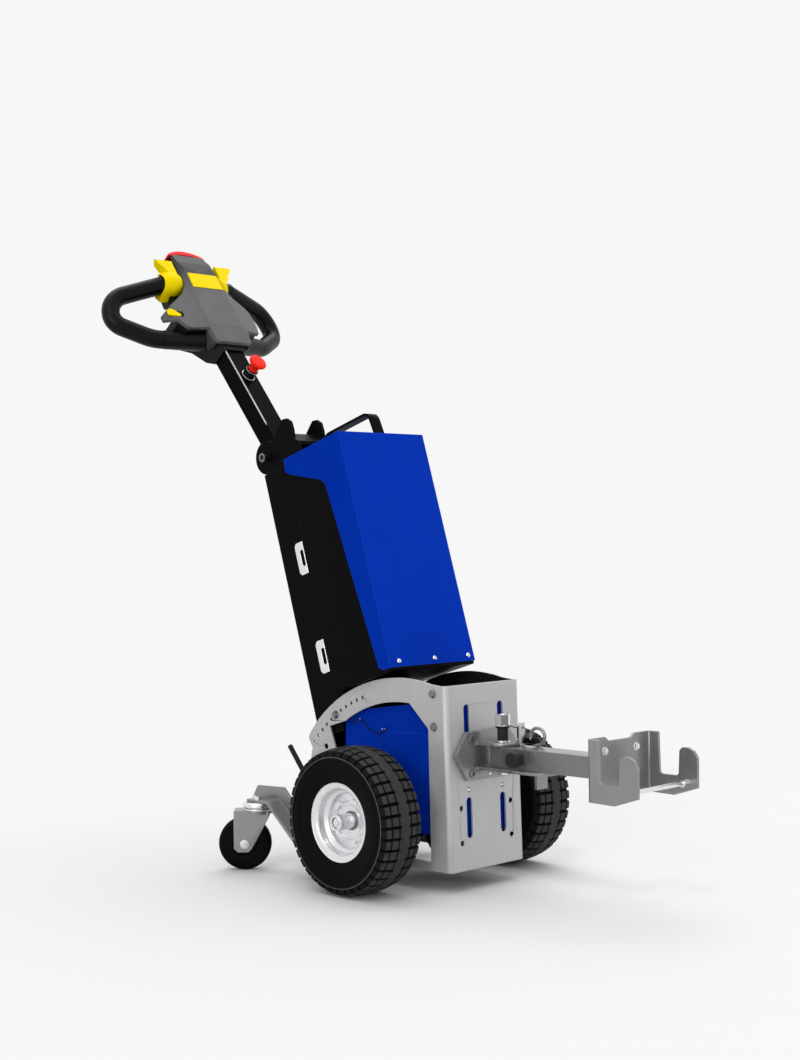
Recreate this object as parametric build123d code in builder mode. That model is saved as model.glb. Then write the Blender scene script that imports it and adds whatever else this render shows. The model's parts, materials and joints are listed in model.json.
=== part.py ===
from build123d import *
import os
from math import asin, cos, degrees, radians, sin, sqrt, tan

os.makedirs("parts", exist_ok=True)

# Walk-behind electric tug: two driven tyres, two swivel castors, a leaning column with a battery
# case, a folding tiller and a towing fork. Millimetres, +X forward, +Y left, +Z up, floor at Z = 0.

# Whole machine
AXLE_X = 113.14           # drive axle ahead of the middle of the machine's length
TYRE_R = 130.0            # rolling radius of the drive tyres
TRACK_HALF = 200.0        # middle of a drive tyre from the centre plane
RUN_GAP = 0.3             # gap between curved faces of different bodies
FIT = 0.05                # radial running clearance of shafts and pins

# Frame: one U-bent plate whose front leans back a little
FRAME_HALF = 97.5         # outer half width
FRAME_T = 5.0             # sheet thickness
FRAME_FRONT = 134.0       # front face ahead of the axle, at axle height
FRAME_LEAN = 1.7          # lean of the front face
FRAME_BEND = 9.0          # outer bend radius
FRAME_LOW = 37.0          # ground clearance
ARC_CENTRE = (20.0, 48.0)     # centre of the quadrant's outer edge
ARC_R = 326.0                 # radius of the quadrant's outer edge
FRAME_TOP = ARC_CENTRE[1] + ARC_R - 10.0   # top edge of the front plate
FRAME_REAR = ARC_CENTRE[0] - 253.0         # rearmost point of the side plates
WINDOW_R = ARC_R - 44.0                    # top of the side window
LEAN_PIVOT = (5.5, 61.6)      # bolt that the column leans about
INDEX_R = ARC_R - 41.0        # radius of the row of index holes, about the lean pivot
INDEX_FIRST = 108.3           # angle of the first index hole
INDEX_STEP = 3.26             # angle between two index holes
INDEX_COUNT = 11
INDEX_BOLT = 5                # hole that the column is bolted at
INDEX_HOLE_R = 3.2
PIVOT_BOSS_R = 26.0           # plate left round the lean pivot
PIVOT_BOLT_R = 6.0
SLOT_Y = 44.3                 # adjusting slots from the centre plane
SLOT_W = 15.0
SLOTS = ((329.0, 272.0), (165.0, 93.0))   # top and bottom height of each pair of slots
BOLT_HOLES = ((44.3, 178.0, 4.5), (64.8, 147.4, 5.0), (64.8, 86.2, 5.0))  # side, height, radius
SIDE_BOLTS = ((96.6, 349.5), (99.3, 291.6))   # screws through each side plate, forward, up
BUTTON_R = 8.0                # button heads
BUTTON_H = 5.0

# Motor and its cover
COVER_HALF = FRAME_HALF - FRAME_T - 8.5
COVER_T = 2.5
COVER_REAR = -143.0
COVER_LOW = 97.0
COVER_TOP = (290.0, 308.0, 326.0, 336.0)      # heights of the top's bends, back to front
COVER_GAP = 5.0               # cover to front plate
SHAFT_R = 10.0
GEAR_HALF = 62.0
BOX_MOUNT_TOP = COVER_LOW - 2.0

# Drive wheels
TYRE_W = 91.8
RIM_R = 69.5              # outer radius of the rim's flange
RIM_HALF = 39.0           # half width of the rim
RIM_T = 2.5
BEAD_R = RIM_R - 12.5
WELL_R = RIM_R - 22.5
DISC_Y = 7.0              # outer face of the wheel disc from the tyre's middle
DISC_T = 3.0
HUB_R = 14.0
HUB_END = 45.0            # hub's outer end from the tyre's middle
SHOULDER_R = TYRE_R - 14.0    # tyre radius at the edge of the tread

# Column and battery, in the leaning plane: forward, up along the column
LEAN = 17.0
LEAN_FOOT = (-160.2, 322.9)   # point of the column's front line
COLUMN_HALF = FRAME_HALF - FRAME_T - 2.5
COLUMN_DEPTH = 68.0
COLUMN_STEP = 22.0            # upper part stands this far forward of the lower part
COLUMN_TOP = 467.0
COLUMN_LOW = -175.0
COLUMN_SILL = -58.0           # lower end of the front wall
COLUMN_T = 3.0
CASE_HALF = COLUMN_HALF + 20.0
CASE_FRONT = COLUMN_STEP + 156.0
CASE_LOW = 12.0
CASE_TOP = COLUMN_TOP + 1.0
BOX_T = 1.5
BOX_HALF = CASE_HALF + BOX_T + 0.5    # outer half width of the bent cover
BOX_FRONT = CASE_FRONT + BOX_T + 0.5
BOX_LOW = CASE_LOW + 6.0
BOX_TOP = CASE_TOP + BOX_T + 0.5
HANDLE_T = 5.0
HANDLE_HALF = 12.5
HANDLE_RISE = 47.0
HANDLE_BEND = 20.0
KEEPER_U = (280.5, 87.0)      # middles of the keeper plates up the column
KEEPER_H = 63.0
KEEPER_W = 24.0
KEEPER_T = 2.5

# Tiller
PIVOT = (-409.5, 788.0)       # tiller hinge
TILLER_LEAN = 38.7
ARM_HALF = 23.4
ARM_BACK = -14.6              # arm's back face off the hinge line
ARM_FRONT = 25.4
ARM_END = 300.0
CHEEK_HALF = 43.0
CHEEK_T = 6.0
LOBE_R = 34.0
PIN_R = 6.0
STOP_AT = 203.0               # emergency stop along the arm
STOP_R = 19.0
STOP_TOP = 70.4
HEAD_START = 272.0
HEAD_WALL = 8.0               # cover's skin
PAD_AT = (434.0, 473.0)       # horn pad along the arm
LOOP_R = 18.8                 # grip tube
LOOP_AT = (362.0, 2.0)        # start of the loop's plane: along the arm, off the arm
LOOP_TILT = 10.3              # loop's plane against the arm
LOOP_SWEEP = 17.3             # loop swept back outwards
LOOP_ROOT = 66.0              # loop's plane starts this far from the centre plane
SLIDER_ENDS = ((383.0, 14.0, -114.0), (367.0, 29.0, -93.0))   # yellow switch on the near wing
SLIDER_W = 10.0
BELLY_HALF = 48.0
PADDLE_AXIS = (466.0, 15.0)
PADDLE_IN = 52.0
PADDLE_OUT = (94.0, 72.0)     # outer ends of the right and the left paddle's barrel
PADDLE_BORE = 19.5

# Castors
CASTOR_X = -302.0
CASTOR_Y = 166.0
CASTOR_R = 50.0
CASTOR_W = 25.0
CASTOR_TRAIL = 25.0
CASTOR_TURN = 45.0
CASTOR_H = 2 * CASTOR_R + 27.0    # floor to the underside of its bracket
CROWN_Z = 2 * CASTOR_R + 6.0      # underside of the fork's crown
CROWN_R = 27.0
CROWN_T = 12.0
KING_R = 5.0                  # swivel bolt
FORK_IN = CASTOR_W / 2 + 5.0  # inside half width of the castor's fork
FORK_SHEET = 3.0
BRACKET_T = 5.0
BEAM_X = -185.0               # square tube that carries both castor brackets
BEAM_Z = 62.3
BEAM_SIZE = 40.0
BEAM_T = 3.0

# Towing hitch
HITCH_X = 174.0
HITCH_Z = 238.0
BAR_H = 37.0
BAR_W = 50.0
YOKE_T = 6.0
YOKE_R = 32.0
YOKE_GAP = BAR_H / 2 + 0.6
HITCH_PIN_R = 6.0
FORK_X = 430.0
FORK_HALF = 83.0
FORK_LENGTH = 104.5
FORK_T = 5.0
FORK_LOW = 191.0
FORK_TOP = 294.0
FORK_SEAT = 223.5             # bottom of the notches
ROD_R = 4.0

# Construction planes
SIDE = Plane(origin=(AXLE_X, 0, 0), x_dir=(1, 0, 0), z_dir=(0, -1, 0))
PLAN = Plane(origin=(AXLE_X, 0, 0))
FRONT = Plane(origin=(AXLE_X, 0, 0), x_dir=(0, 1, 0), z_dir=(1, 0, 0))
FORWARD = (cos(radians(LEAN)), 0, sin(radians(LEAN)))
UPWARD = (-sin(radians(LEAN)), 0, cos(radians(LEAN)))
LEAN_ORIGIN = (AXLE_X + LEAN_FOOT[0], 0, LEAN_FOOT[1])
LEAN_SIDE = Plane(origin=LEAN_ORIGIN, x_dir=FORWARD, z_dir=(0, -1, 0))
LEAN_PLAN = Plane(origin=LEAN_ORIGIN, x_dir=FORWARD, z_dir=UPWARD)
FACE_TILT = radians(FRAME_LEAN)
FACE_ORIGIN = (AXLE_X + FRAME_FRONT, 0, TYRE_R)
FACE = Plane(origin=FACE_ORIGIN, x_dir=(0, 1, 0), z_dir=(cos(FACE_TILT), 0, sin(FACE_TILT)))
FACE_PLAN = Plane(origin=FACE_ORIGIN, x_dir=(cos(FACE_TILT), 0, sin(FACE_TILT)),
                  z_dir=(-sin(FACE_TILT), 0, cos(FACE_TILT)))
ALONG = (-sin(radians(TILLER_LEAN)), 0, cos(radians(TILLER_LEAN)))
OFF = (cos(radians(TILLER_LEAN)), 0, sin(radians(TILLER_LEAN)))
HINGE = (AXLE_X + PIVOT[0], 0, PIVOT[1])
TILLER_SIDE = Plane(origin=HINGE, x_dir=ALONG, z_dir=(0, 1, 0))
TILLER_FACE = Plane(origin=HINGE, x_dir=ALONG, z_dir=OFF)
TILLER_END = Plane(origin=HINGE, x_dir=(0, -1, 0), z_dir=ALONG)
AXLE = Axis((AXLE_X, 0, TYRE_R), (0, 1, 0))


def finish(builder, name):
    """Label a finished piece and write it."""
    builder.part.label = name
    export_step(builder.part, f"parts/{name}.step")


def mirrored(builder):
    """The left-hand twin of a right-hand piece."""
    with BuildPart() as twin:
        mirror(builder.part, about=Plane.XZ)
    return twin


def lean_point(ahead, up):
    """Side-view place of a point given along the leaning column."""
    turn = radians(LEAN)
    return (LEAN_FOOT[0] + ahead * cos(turn) - up * sin(turn),
            LEAN_FOOT[1] + ahead * sin(turn) + up * cos(turn))


# Frame plate
def front_x(height):
    """Forward position of the leaning front face at a height."""
    return FRAME_FRONT - (height - TYRE_R) * tan(FACE_TILT)


def on_arc(x, radius):
    """Height of an arc about the quadrant's centre."""
    return ARC_CENTRE[1] + sqrt(radius**2 - (x - ARC_CENTRE[0])**2)


def index_point(hole):
    """Middle of an index hole, counted from the front."""
    turn = radians(INDEX_FIRST + INDEX_STEP * hole)
    return (LEAN_PIVOT[0] + INDEX_R * cos(turn), LEAN_PIVOT[1] + INDEX_R * sin(turn))


FRAME_DEPTH = FRAME_FRONT - FRAME_REAR + 15
with BuildPart() as frame_plate:
    with BuildSketch(FACE_PLAN.offset(FRAME_LOW - TYRE_R - 15)):
        with BuildLine():
            FilletPolyline((-FRAME_DEPTH, FRAME_HALF), (0, FRAME_HALF), (0, -FRAME_HALF),
                           (-FRAME_DEPTH, -FRAME_HALF), radius=FRAME_BEND)
            FilletPolyline((-FRAME_DEPTH, FRAME_HALF - FRAME_T), (-FRAME_T, FRAME_HALF - FRAME_T),
                           (-FRAME_T, FRAME_T - FRAME_HALF), (-FRAME_DEPTH, FRAME_T - FRAME_HALF),
                           radius=FRAME_BEND - FRAME_T)
            Line((-FRAME_DEPTH, FRAME_HALF), (-FRAME_DEPTH, FRAME_HALF - FRAME_T))
            Line((-FRAME_DEPTH, -FRAME_HALF), (-FRAME_DEPTH, FRAME_T - FRAME_HALF))
        make_face()
    extrude(amount=ARC_R + ARC_CENTRE[1] - FRAME_LOW + 30)
    # Side outline: quadrant on top, straight foot
    arc_rear = FRAME_REAR + 21
    arc_fore = FRAME_FRONT - 42
    with BuildSketch(SIDE):
        with BuildLine():
            ThreePointArc((arc_rear, on_arc(arc_rear, ARC_R)), (ARC_CENTRE[0], ARC_CENTRE[1] + ARC_R),
                          (arc_fore, on_arc(arc_fore, ARC_R)))
            Polyline((arc_fore, on_arc(arc_fore, ARC_R)), (front_x(FRAME_TOP) - 14, FRAME_TOP),
                     (FRAME_FRONT + 5, FRAME_TOP), (FRAME_FRONT + 5, FRAME_LOW), (FRAME_REAR + 28, FRAME_LOW),
                     (FRAME_REAR + 7, FRAME_LOW + 23), (FRAME_REAR + 7, 214), (FRAME_REAR + 11, 230),
                     (FRAME_REAR, 248), (FRAME_REAR + 4, 257), (arc_rear, on_arc(arc_rear, ARC_R)))
        make_face()
    extrude(amount=FRAME_HALF, both=True, mode=Mode.INTERSECT)
    # Window under the quadrant
    window_rear = ARC_CENTRE[0] - 151
    window_fore = ARC_CENTRE[0] + 18
    with BuildSketch(SIDE):
        with BuildLine():
            ThreePointArc((window_rear, on_arc(window_rear, WINDOW_R)),
                          (ARC_CENTRE[0] - 60, on_arc(ARC_CENTRE[0] - 60, WINDOW_R)),
                          (window_fore, on_arc(window_fore, WINDOW_R)))
            Polyline((window_fore, on_arc(window_fore, WINDOW_R)), (84.4, 287), (88, FRAME_LOW + 15),
                     (-134, FRAME_LOW + 19), (-134, 172), (-174, 274),
                     (window_rear, on_arc(window_rear, WINDOW_R)))
        make_face()
        with Locations(LEAN_PIVOT):
            Circle(PIVOT_BOSS_R, mode=Mode.SUBTRACT)
    extrude(amount=FRAME_HALF, both=True, mode=Mode.SUBTRACT)
    # Square holes for the cross tube, index holes, lean pivot and screw holes
    with BuildSketch(SIDE):
        with Locations((BEAM_X, BEAM_Z)):
            Rectangle(BEAM_SIZE, BEAM_SIZE)
        with Locations(*[index_point(hole) for hole in range(INDEX_COUNT)]):
            Circle(INDEX_HOLE_R + FIT)
        with Locations(LEAN_PIVOT):
            Circle(PIVOT_BOLT_R + FIT)
        with Locations((FRAME_REAR + 49, 235)):
            Circle(5.5)
    extrude(amount=FRAME_HALF, both=True, mode=Mode.SUBTRACT)
    # Adjusting slots and bolt holes, square to the leaning front
    with BuildSketch(FACE.offset(-2 * FRAME_T)):
        for top, bottom in SLOTS:
            with Locations((SLOT_Y, (top + bottom) / 2 - TYRE_R), (-SLOT_Y, (top + bottom) / 2 - TYRE_R)):
                SlotOverall(top - bottom, SLOT_W, rotation=90)
        for hole_y, hole_z, hole_r in BOLT_HOLES:
            with Locations((hole_y, hole_z - TYRE_R), (-hole_y, hole_z - TYRE_R)):
                Circle(hole_r)
    extrude(amount=3 * FRAME_T, mode=Mode.SUBTRACT)
finish(frame_plate, "frame_plate")


# Motor cover: bent hood, open below
def cover_outline(skin):
    """Side outline of the hood, drawn in by a skin thickness."""
    back, crease, crown, brow = COVER_TOP
    setback = FRAME_T + COVER_GAP + skin
    return ((COVER_REAR + skin, COVER_LOW), (COVER_REAR + skin, back - skin), (COVER_REAR + 40, crease - skin),
            (COVER_REAR + 173, crown - skin), (front_x(brow) - setback - 10, brow - skin),
            (front_x(brow) - setback, brow - 9 - skin), (front_x(COVER_LOW) - setback, COVER_LOW))


with BuildPart() as motor_cover:
    with BuildSketch(SIDE):
        with BuildLine():
            Polyline(*cover_outline(0), close=True)
        make_face()
    extrude(amount=COVER_HALF, both=True)
    with BuildSketch(SIDE):
        with BuildLine():
            Polyline(*cover_outline(COVER_T), close=True)
        make_face()
    extrude(amount=COVER_HALF - COVER_T, both=True, mode=Mode.SUBTRACT)
    # Notch over each axle tube
    with BuildSketch(SIDE):
        with Locations((0, TYRE_R)):
            Circle(26)
        with Locations((0, TYRE_R - 30)):
            Rectangle(52, 60)
    extrude(amount=COVER_HALF, both=True, mode=Mode.SUBTRACT)
    # Spacers behind the screws of the front plate
    with BuildSketch(FACE.offset(-FRAME_T)):
        spacer_y, spacer_z, spacer_r = BOLT_HOLES[0]
        with Locations((spacer_y, spacer_z - TYRE_R), (-spacer_y, spacer_z - TYRE_R)):
            Circle(spacer_r + 3)
    extrude(amount=-COVER_GAP - COVER_T)
finish(motor_cover, "motor_cover")

# Transaxle: motor and gearbox as plain masses on the axle tube
with BuildPart() as transaxle:
    for half_length, radius in ((GEAR_HALF, 52), (FRAME_HALF - 8, 23)):
        with BuildSketch(SIDE.offset(-half_length)):
            with Locations((0, TYRE_R)):
                Circle(radius)
        extrude(amount=2 * half_length)
    with BuildSketch(SIDE.offset(-40)):
        with Locations((60, TYRE_R + 95)):
            Circle(46)
    extrude(amount=80)
    with BuildSketch(SIDE.offset(-30)):
        with BuildLine():
            Polyline((-30, TYRE_R), (20, TYRE_R + 120), (100, TYRE_R + 80), (106, 64), (20, 60), close=True)
        make_face()
    extrude(amount=60)
    # Foot bolted to the front plate
    with BuildSketch(FACE.offset(-FRAME_T)):
        with Locations((0, BOX_MOUNT_TOP - 18 - TYRE_R)):
            Rectangle(2 * SLOT_Y + 20, 34)
    extrude(amount=-80)
    with BuildSketch(SIDE):
        with Locations((0, TYRE_R)):
            Circle(SHAFT_R + FIT)
    extrude(amount=FRAME_HALF, both=True, mode=Mode.SUBTRACT)
finish(transaxle, "transaxle")

# Drive wheels
RIM_SECTION = ((-RIM_HALF, RIM_R), (-36, 61), (-33, BEAD_R), (-20, BEAD_R - 1), (-15, WELL_R),
               (15, WELL_R), (20, BEAD_R - 1), (33, BEAD_R), (36, 61), (RIM_HALF, RIM_R))  # across, radius
TYRE_SECTION = ((TYRE_W / 2 - 15, TYRE_R - 0.8), (TYRE_W / 2 - 7, TYRE_R - 5), (TYRE_W / 2 - 3, SHOULDER_R),
                (TYRE_W / 2, SHOULDER_R - 16), (TYRE_W / 2 - 1, SHOULDER_R - 31), (RIM_HALF - 1, RIM_R + 1),
                (33, BEAD_R + RUN_GAP))         # crown to bead: across, radius


def wheel_point(across, radius):
    """Point of a right-hand wheel's section; across is positive outwards."""
    return (-TRACK_HALF - across, TYRE_R + radius)


with BuildPart() as rim_right:
    with BuildSketch(FRONT):
        with BuildLine():
            outer = [wheel_point(across, radius) for across, radius in RIM_SECTION]
            inner = [wheel_point(across * 1.02, radius - RIM_T) for across, radius in reversed(RIM_SECTION)]
            Polyline(*outer, *inner, close=True)
        make_face()
        with BuildLine():
            Polyline(wheel_point(DISC_Y, HUB_R + FIT), wheel_point(DISC_Y, WELL_R - RIM_T / 2),
                     wheel_point(DISC_Y - DISC_T, WELL_R - RIM_T / 2), wheel_point(DISC_Y - DISC_T, HUB_R + FIT),
                     close=True)
        make_face()
    revolve(axis=AXLE)
finish(rim_right, "rim_right")
rim_left = mirrored(rim_right)
finish(rim_left, "rim_left")

with BuildPart() as tyre_right:
    with BuildSketch(FRONT):
        with BuildLine():
            near_half = [wheel_point(across, radius) for across, radius in TYRE_SECTION]
            far_half = [wheel_point(-across, radius) for across, radius in reversed(TYRE_SECTION)]
            Polyline(*far_half, wheel_point(0, TYRE_R), *near_half, close=True)
        make_face()
    revolve(axis=AXLE)
finish(tyre_right, "tyre_right")
tyre_left = mirrored(tyre_right)
finish(tyre_left, "tyre_left")

with BuildPart() as hub_right:
    with BuildSketch(FRONT):
        with BuildLine():
            Polyline(wheel_point(HUB_END, SHAFT_R), wheel_point(HUB_END, HUB_R - 1), wheel_point(HUB_END - 1, HUB_R),
                     wheel_point(-RIM_HALF, HUB_R), wheel_point(-RIM_HALF, SHAFT_R), close=True)
        make_face()
        with BuildLine():
            Polyline(wheel_point(DISC_Y - DISC_T, HUB_R - 1), wheel_point(DISC_Y - DISC_T, 38),
                     wheel_point(DISC_Y - DISC_T - 4, 38), wheel_point(DISC_Y - DISC_T - 4, HUB_R - 1), close=True)
        make_face()
    revolve(axis=AXLE)
finish(hub_right, "hub_right")
hub_left = mirrored(hub_right)
finish(hub_left, "hub_left")

with BuildPart() as drive_shaft_right:
    with BuildSketch(SIDE.offset(GEAR_HALF - 20)):
        with Locations((0, TYRE_R)):
            Circle(SHAFT_R)
    extrude(amount=TRACK_HALF + HUB_END - 4 - GEAR_HALF + 20)
finish(drive_shaft_right, "drive_shaft_right")
drive_shaft_left = mirrored(drive_shaft_right)
finish(drive_shaft_left, "drive_shaft_left")

# Column: box section with a foot on each side
FOOT = ((-150, 215), (-110, 235), (-95, 150), (LEAN_PIVOT[0] + 12, LEAN_PIVOT[1] + 16),
        (LEAN_PIVOT[0] + 12, LEAN_PIVOT[1] - 16), (LEAN_PIVOT[0] - 12, LEAN_PIVOT[1] - 16), (-140, 130))
with BuildPart() as column:
    with BuildSketch(LEAN_SIDE):
        with BuildLine():
            Polyline((-COLUMN_DEPTH, COLUMN_LOW), (-COLUMN_DEPTH, COLUMN_TOP), (COLUMN_STEP, COLUMN_TOP),
                     (COLUMN_STEP, 5), (0, -20), (0, COLUMN_SILL), (-33, COLUMN_SILL), (-33, COLUMN_LOW), close=True)
        make_face()
    extrude(amount=COLUMN_HALF, both=True)
    with BuildSketch(LEAN_SIDE):
        with BuildLine():
            Polyline((COLUMN_T - COLUMN_DEPTH, COLUMN_LOW), (COLUMN_T - COLUMN_DEPTH, COLUMN_TOP - COLUMN_T),
                     (COLUMN_STEP - COLUMN_T, COLUMN_TOP - COLUMN_T), (COLUMN_STEP - COLUMN_T, 6), (-COLUMN_T, -19),
                     (-COLUMN_T, COLUMN_SILL - COLUMN_T), (0, COLUMN_SILL - COLUMN_T), (0, COLUMN_LOW), close=True)
        make_face()
    extrude(amount=COLUMN_HALF - COLUMN_T, both=True, mode=Mode.SUBTRACT)
    for near in (COVER_HALF + RUN_GAP, -COLUMN_HALF):
        with BuildSketch(SIDE.offset(near)):
            with BuildLine():
                Polyline(*FOOT, close=True)
            make_face()
            with Locations(LEAN_PIVOT):
                Circle(PIVOT_BOLT_R + FIT, mode=Mode.SUBTRACT)
        extrude(amount=COLUMN_HALF - COVER_HALF - RUN_GAP)
    with BuildSketch(SIDE):
        with Locations(index_point(INDEX_BOLT)):
            Circle(INDEX_HOLE_R + FIT)
    extrude(amount=COLUMN_HALF, both=True, mode=Mode.SUBTRACT)
finish(column, "column")

# Screws that hold the column at its index hole and at the lean pivot, and the side plates' screws
with BuildPart() as index_bolts:
    for side in (-1, 1):
        for at, shank, head in ((index_point(INDEX_BOLT), INDEX_HOLE_R, BUTTON_R), (LEAN_PIVOT, PIVOT_BOLT_R, 12.0)):
            with BuildSketch(SIDE.offset(side * (COLUMN_HALF - COLUMN_T - 3))):
                with Locations(at):
                    Circle(shank)
            extrude(amount=side * (FRAME_HALF - COLUMN_HALF + COLUMN_T + 5))
            with BuildSketch(SIDE.offset(side * COLUMN_HALF)):
                with Locations(at):
                    Circle(head)
            extrude(amount=side * (FRAME_HALF - FRAME_T - COLUMN_HALF))
            with BuildSketch(SIDE.offset(side * FRAME_HALF)):
                with Locations(at):
                    Circle(head)
            extrude(amount=side * BUTTON_H, taper=25)
finish(index_bolts, "index_bolts")

with BuildPart() as side_screws:
    for side in (-1, 1):
        with BuildSketch(SIDE.offset(side * FRAME_HALF)):
            with Locations(*SIDE_BOLTS):
                Circle(BUTTON_R)
        extrude(amount=side * BUTTON_H, taper=25)
finish(side_screws, "side_screws")

# Battery case
with BuildPart() as battery_case:
    with BuildSketch(LEAN_SIDE):
        with BuildLine():
            Polyline((COLUMN_STEP, CASE_LOW), (COLUMN_STEP, CASE_TOP), (CASE_FRONT, CASE_TOP),
                     (CASE_FRONT, CASE_LOW), close=True)
        make_face()
    extrude(amount=CASE_HALF, both=True)
finish(battery_case, "battery_case")

# Bent box cover
with BuildPart() as box_cover:
    with BuildSketch(LEAN_SIDE):
        with BuildLine():
            Polyline((BOX_FRONT, BOX_LOW), (BOX_FRONT - 20, BOX_LOW), (BOX_FRONT - 31, BOX_LOW + 8),
                     (BOX_FRONT - 64, BOX_TOP - 83), (BOX_FRONT - 73, BOX_TOP - 71), (28, BOX_TOP - 34),
                     (16, BOX_TOP - 25), (18, BOX_TOP), (BOX_FRONT, BOX_TOP), close=True)
        make_face()
    extrude(amount=BOX_HALF, both=True)
    with BuildSketch(LEAN_SIDE):
        with BuildLine():
            Polyline((BOX_FRONT - BOX_T, BOX_LOW), (0, BOX_LOW), (0, BOX_TOP - BOX_T),
                     (BOX_FRONT - BOX_T, BOX_TOP - BOX_T), close=True)
        make_face()
    extrude(amount=BOX_HALF - BOX_T, both=True, mode=Mode.SUBTRACT)
finish(box_cover, "box_cover")

# Carrying handle: flat bar bent over the cover
HANDLE_BACK = COLUMN_STEP + 12
HANDLE_FORE = BOX_FRONT - 3
HANDLE_CREST = BOX_TOP + HANDLE_RISE
with BuildPart() as carry_handle:
    with BuildSketch(LEAN_SIDE):
        with BuildLine():
            FilletPolyline((HANDLE_BACK, BOX_TOP), (HANDLE_BACK, HANDLE_CREST), (HANDLE_FORE - 6, HANDLE_CREST),
                           (HANDLE_FORE, BOX_TOP), radius=HANDLE_BEND)
            FilletPolyline((HANDLE_FORE - HANDLE_T, BOX_TOP), (HANDLE_FORE - 6 - HANDLE_T, HANDLE_CREST - HANDLE_T),
                           (HANDLE_BACK + HANDLE_T, HANDLE_CREST - HANDLE_T), (HANDLE_BACK + HANDLE_T, BOX_TOP),
                           radius=HANDLE_BEND - HANDLE_T)
            Line((HANDLE_FORE, BOX_TOP), (HANDLE_FORE - HANDLE_T, BOX_TOP))
            Line((HANDLE_BACK, BOX_TOP), (HANDLE_BACK + HANDLE_T, BOX_TOP))
        make_face()
    extrude(amount=HANDLE_HALF, both=True)
finish(carry_handle, "carry_handle")

# Keeper plates on the column's sides
with BuildPart() as keeper_plates:
    for side in (1, -1):
        with BuildSketch(LEAN_SIDE.offset(side * COLUMN_HALF)):
            for middle in KEEPER_U:
                low = middle - KEEPER_H / 2
                high = middle + KEEPER_H / 2
                with BuildLine():
                    Polyline((0, low), (5 - KEEPER_W, low), (-KEEPER_W, low + 6), (-KEEPER_W, high - 6),
                             (5 - KEEPER_W, high), (0, high), close=True)
                make_face()
            with Locations(*[(-7, middle) for middle in KEEPER_U]):
                SlotOverall(KEEPER_H / 2, 9, rotation=90, mode=Mode.SUBTRACT)
        extrude(amount=side * KEEPER_T)
finish(keeper_plates, "keeper_plates")

# Key switch and charging socket on the column's back
with BuildPart() as key_switch:
    with BuildSketch(Plane(origin=LEAN_PLAN.from_local_coords((-COLUMN_DEPTH, 0, 360)), x_dir=(0, 1, 0),
                           z_dir=(-FORWARD[0], 0, -FORWARD[2]))):
        Circle(14)
    extrude(amount=6)
    with BuildSketch(Plane(origin=LEAN_PLAN.from_local_coords((-COLUMN_DEPTH - 6, 0, 360)), x_dir=(0, 1, 0),
                           z_dir=(-FORWARD[0], 0, -FORWARD[2]))):
        RectangleRounded(24, 6, 2)
    extrude(amount=26)
finish(key_switch, "key_switch")

with BuildPart() as charge_socket:
    with BuildSketch(Plane(origin=LEAN_PLAN.from_local_coords((-COLUMN_DEPTH, 0, 320)), x_dir=(0, 1, 0),
                           z_dir=(-FORWARD[0], 0, -FORWARD[2]))):
        Circle(15)
    extrude(amount=14)
finish(charge_socket, "charge_socket")

# Hinge bracket of the tiller: two lobed cheeks with ears and a bent stop plate
with BuildPart() as tiller_bracket:
    for near in (-CHEEK_HALF, CHEEK_HALF - CHEEK_T):
        with BuildSketch(SIDE.offset(near)):
            with Locations(PIVOT):
                Circle(LOBE_R)
            with BuildLine():
                Polyline((PIVOT[0] - 20, PIVOT[1] - 20), (PIVOT[0] + 18, PIVOT[1] + 34), (PIVOT[0] + 34, 845),
                         (PIVOT[0] + 47, 862), (PIVOT[0] + 60, 863.5), (PIVOT[0] + 72, 857), (PIVOT[0] + 78, 842),
                         (PIVOT[0] + 82, 823), (-312, 814), lean_point(-2, COLUMN_TOP), lean_point(-55, COLUMN_TOP),
                         (PIVOT[0] + 4, PIVOT[1] - LOBE_R), close=True)
            make_face()
        extrude(amount=CHEEK_T)
    with BuildSketch(SIDE):
        with BuildLine():
            Polyline((-382, 800), (-380, 836), (-352, 834), (-314, 818), (-312, 812), (-352, 828), (-374, 830),
                     (-375, 800), close=True)
        make_face()
    extrude(amount=CHEEK_HALF - 1, both=True)
    with BuildSketch(SIDE):
        with Locations(PIVOT):
            Circle(PIN_R + FIT)
    extrude(amount=CHEEK_HALF + 1, both=True, mode=Mode.SUBTRACT)
finish(tiller_bracket, "tiller_bracket")

with BuildPart() as hinge_pin:
    with BuildSketch(SIDE.offset(-CHEEK_HALF)):
        with Locations(PIVOT):
            Circle(PIN_R)
    extrude(amount=2 * CHEEK_HALF)
    # Nut on the left, socket head on the right
    with BuildSketch(SIDE.offset(-CHEEK_HALF)):
        with Locations(PIVOT):
            RegularPolygon(10, 6)
    extrude(amount=-10)
    with BuildSketch(SIDE.offset(CHEEK_HALF)):
        with Locations(PIVOT):
            Circle(9)
    extrude(amount=13)
    with BuildSketch(SIDE.offset(CHEEK_HALF + 13)):
        with Locations(PIVOT):
            RegularPolygon(5.5, 6)
    extrude(amount=-6, mode=Mode.SUBTRACT)
finish(hinge_pin, "hinge_pin")

# Tiller arm: rectangular tube with a hinge boss
with BuildPart() as tiller_arm:
    with BuildSketch(TILLER_SIDE):
        with BuildLine():
            Polyline((0, ARM_BACK), (0, ARM_FRONT), (ARM_END, ARM_FRONT), (ARM_END, ARM_BACK), close=True)
        make_face()
        Circle(17)
    extrude(amount=ARM_HALF, both=True)
    with BuildSketch(TILLER_SIDE):
        Circle(12)
    extrude(amount=CHEEK_HALF - CHEEK_T - 0.5, both=True)
    with BuildSketch(TILLER_SIDE):
        Circle(PIN_R + FIT)
    extrude(amount=CHEEK_HALF, both=True, mode=Mode.SUBTRACT)
finish(tiller_arm, "tiller_arm")

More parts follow.
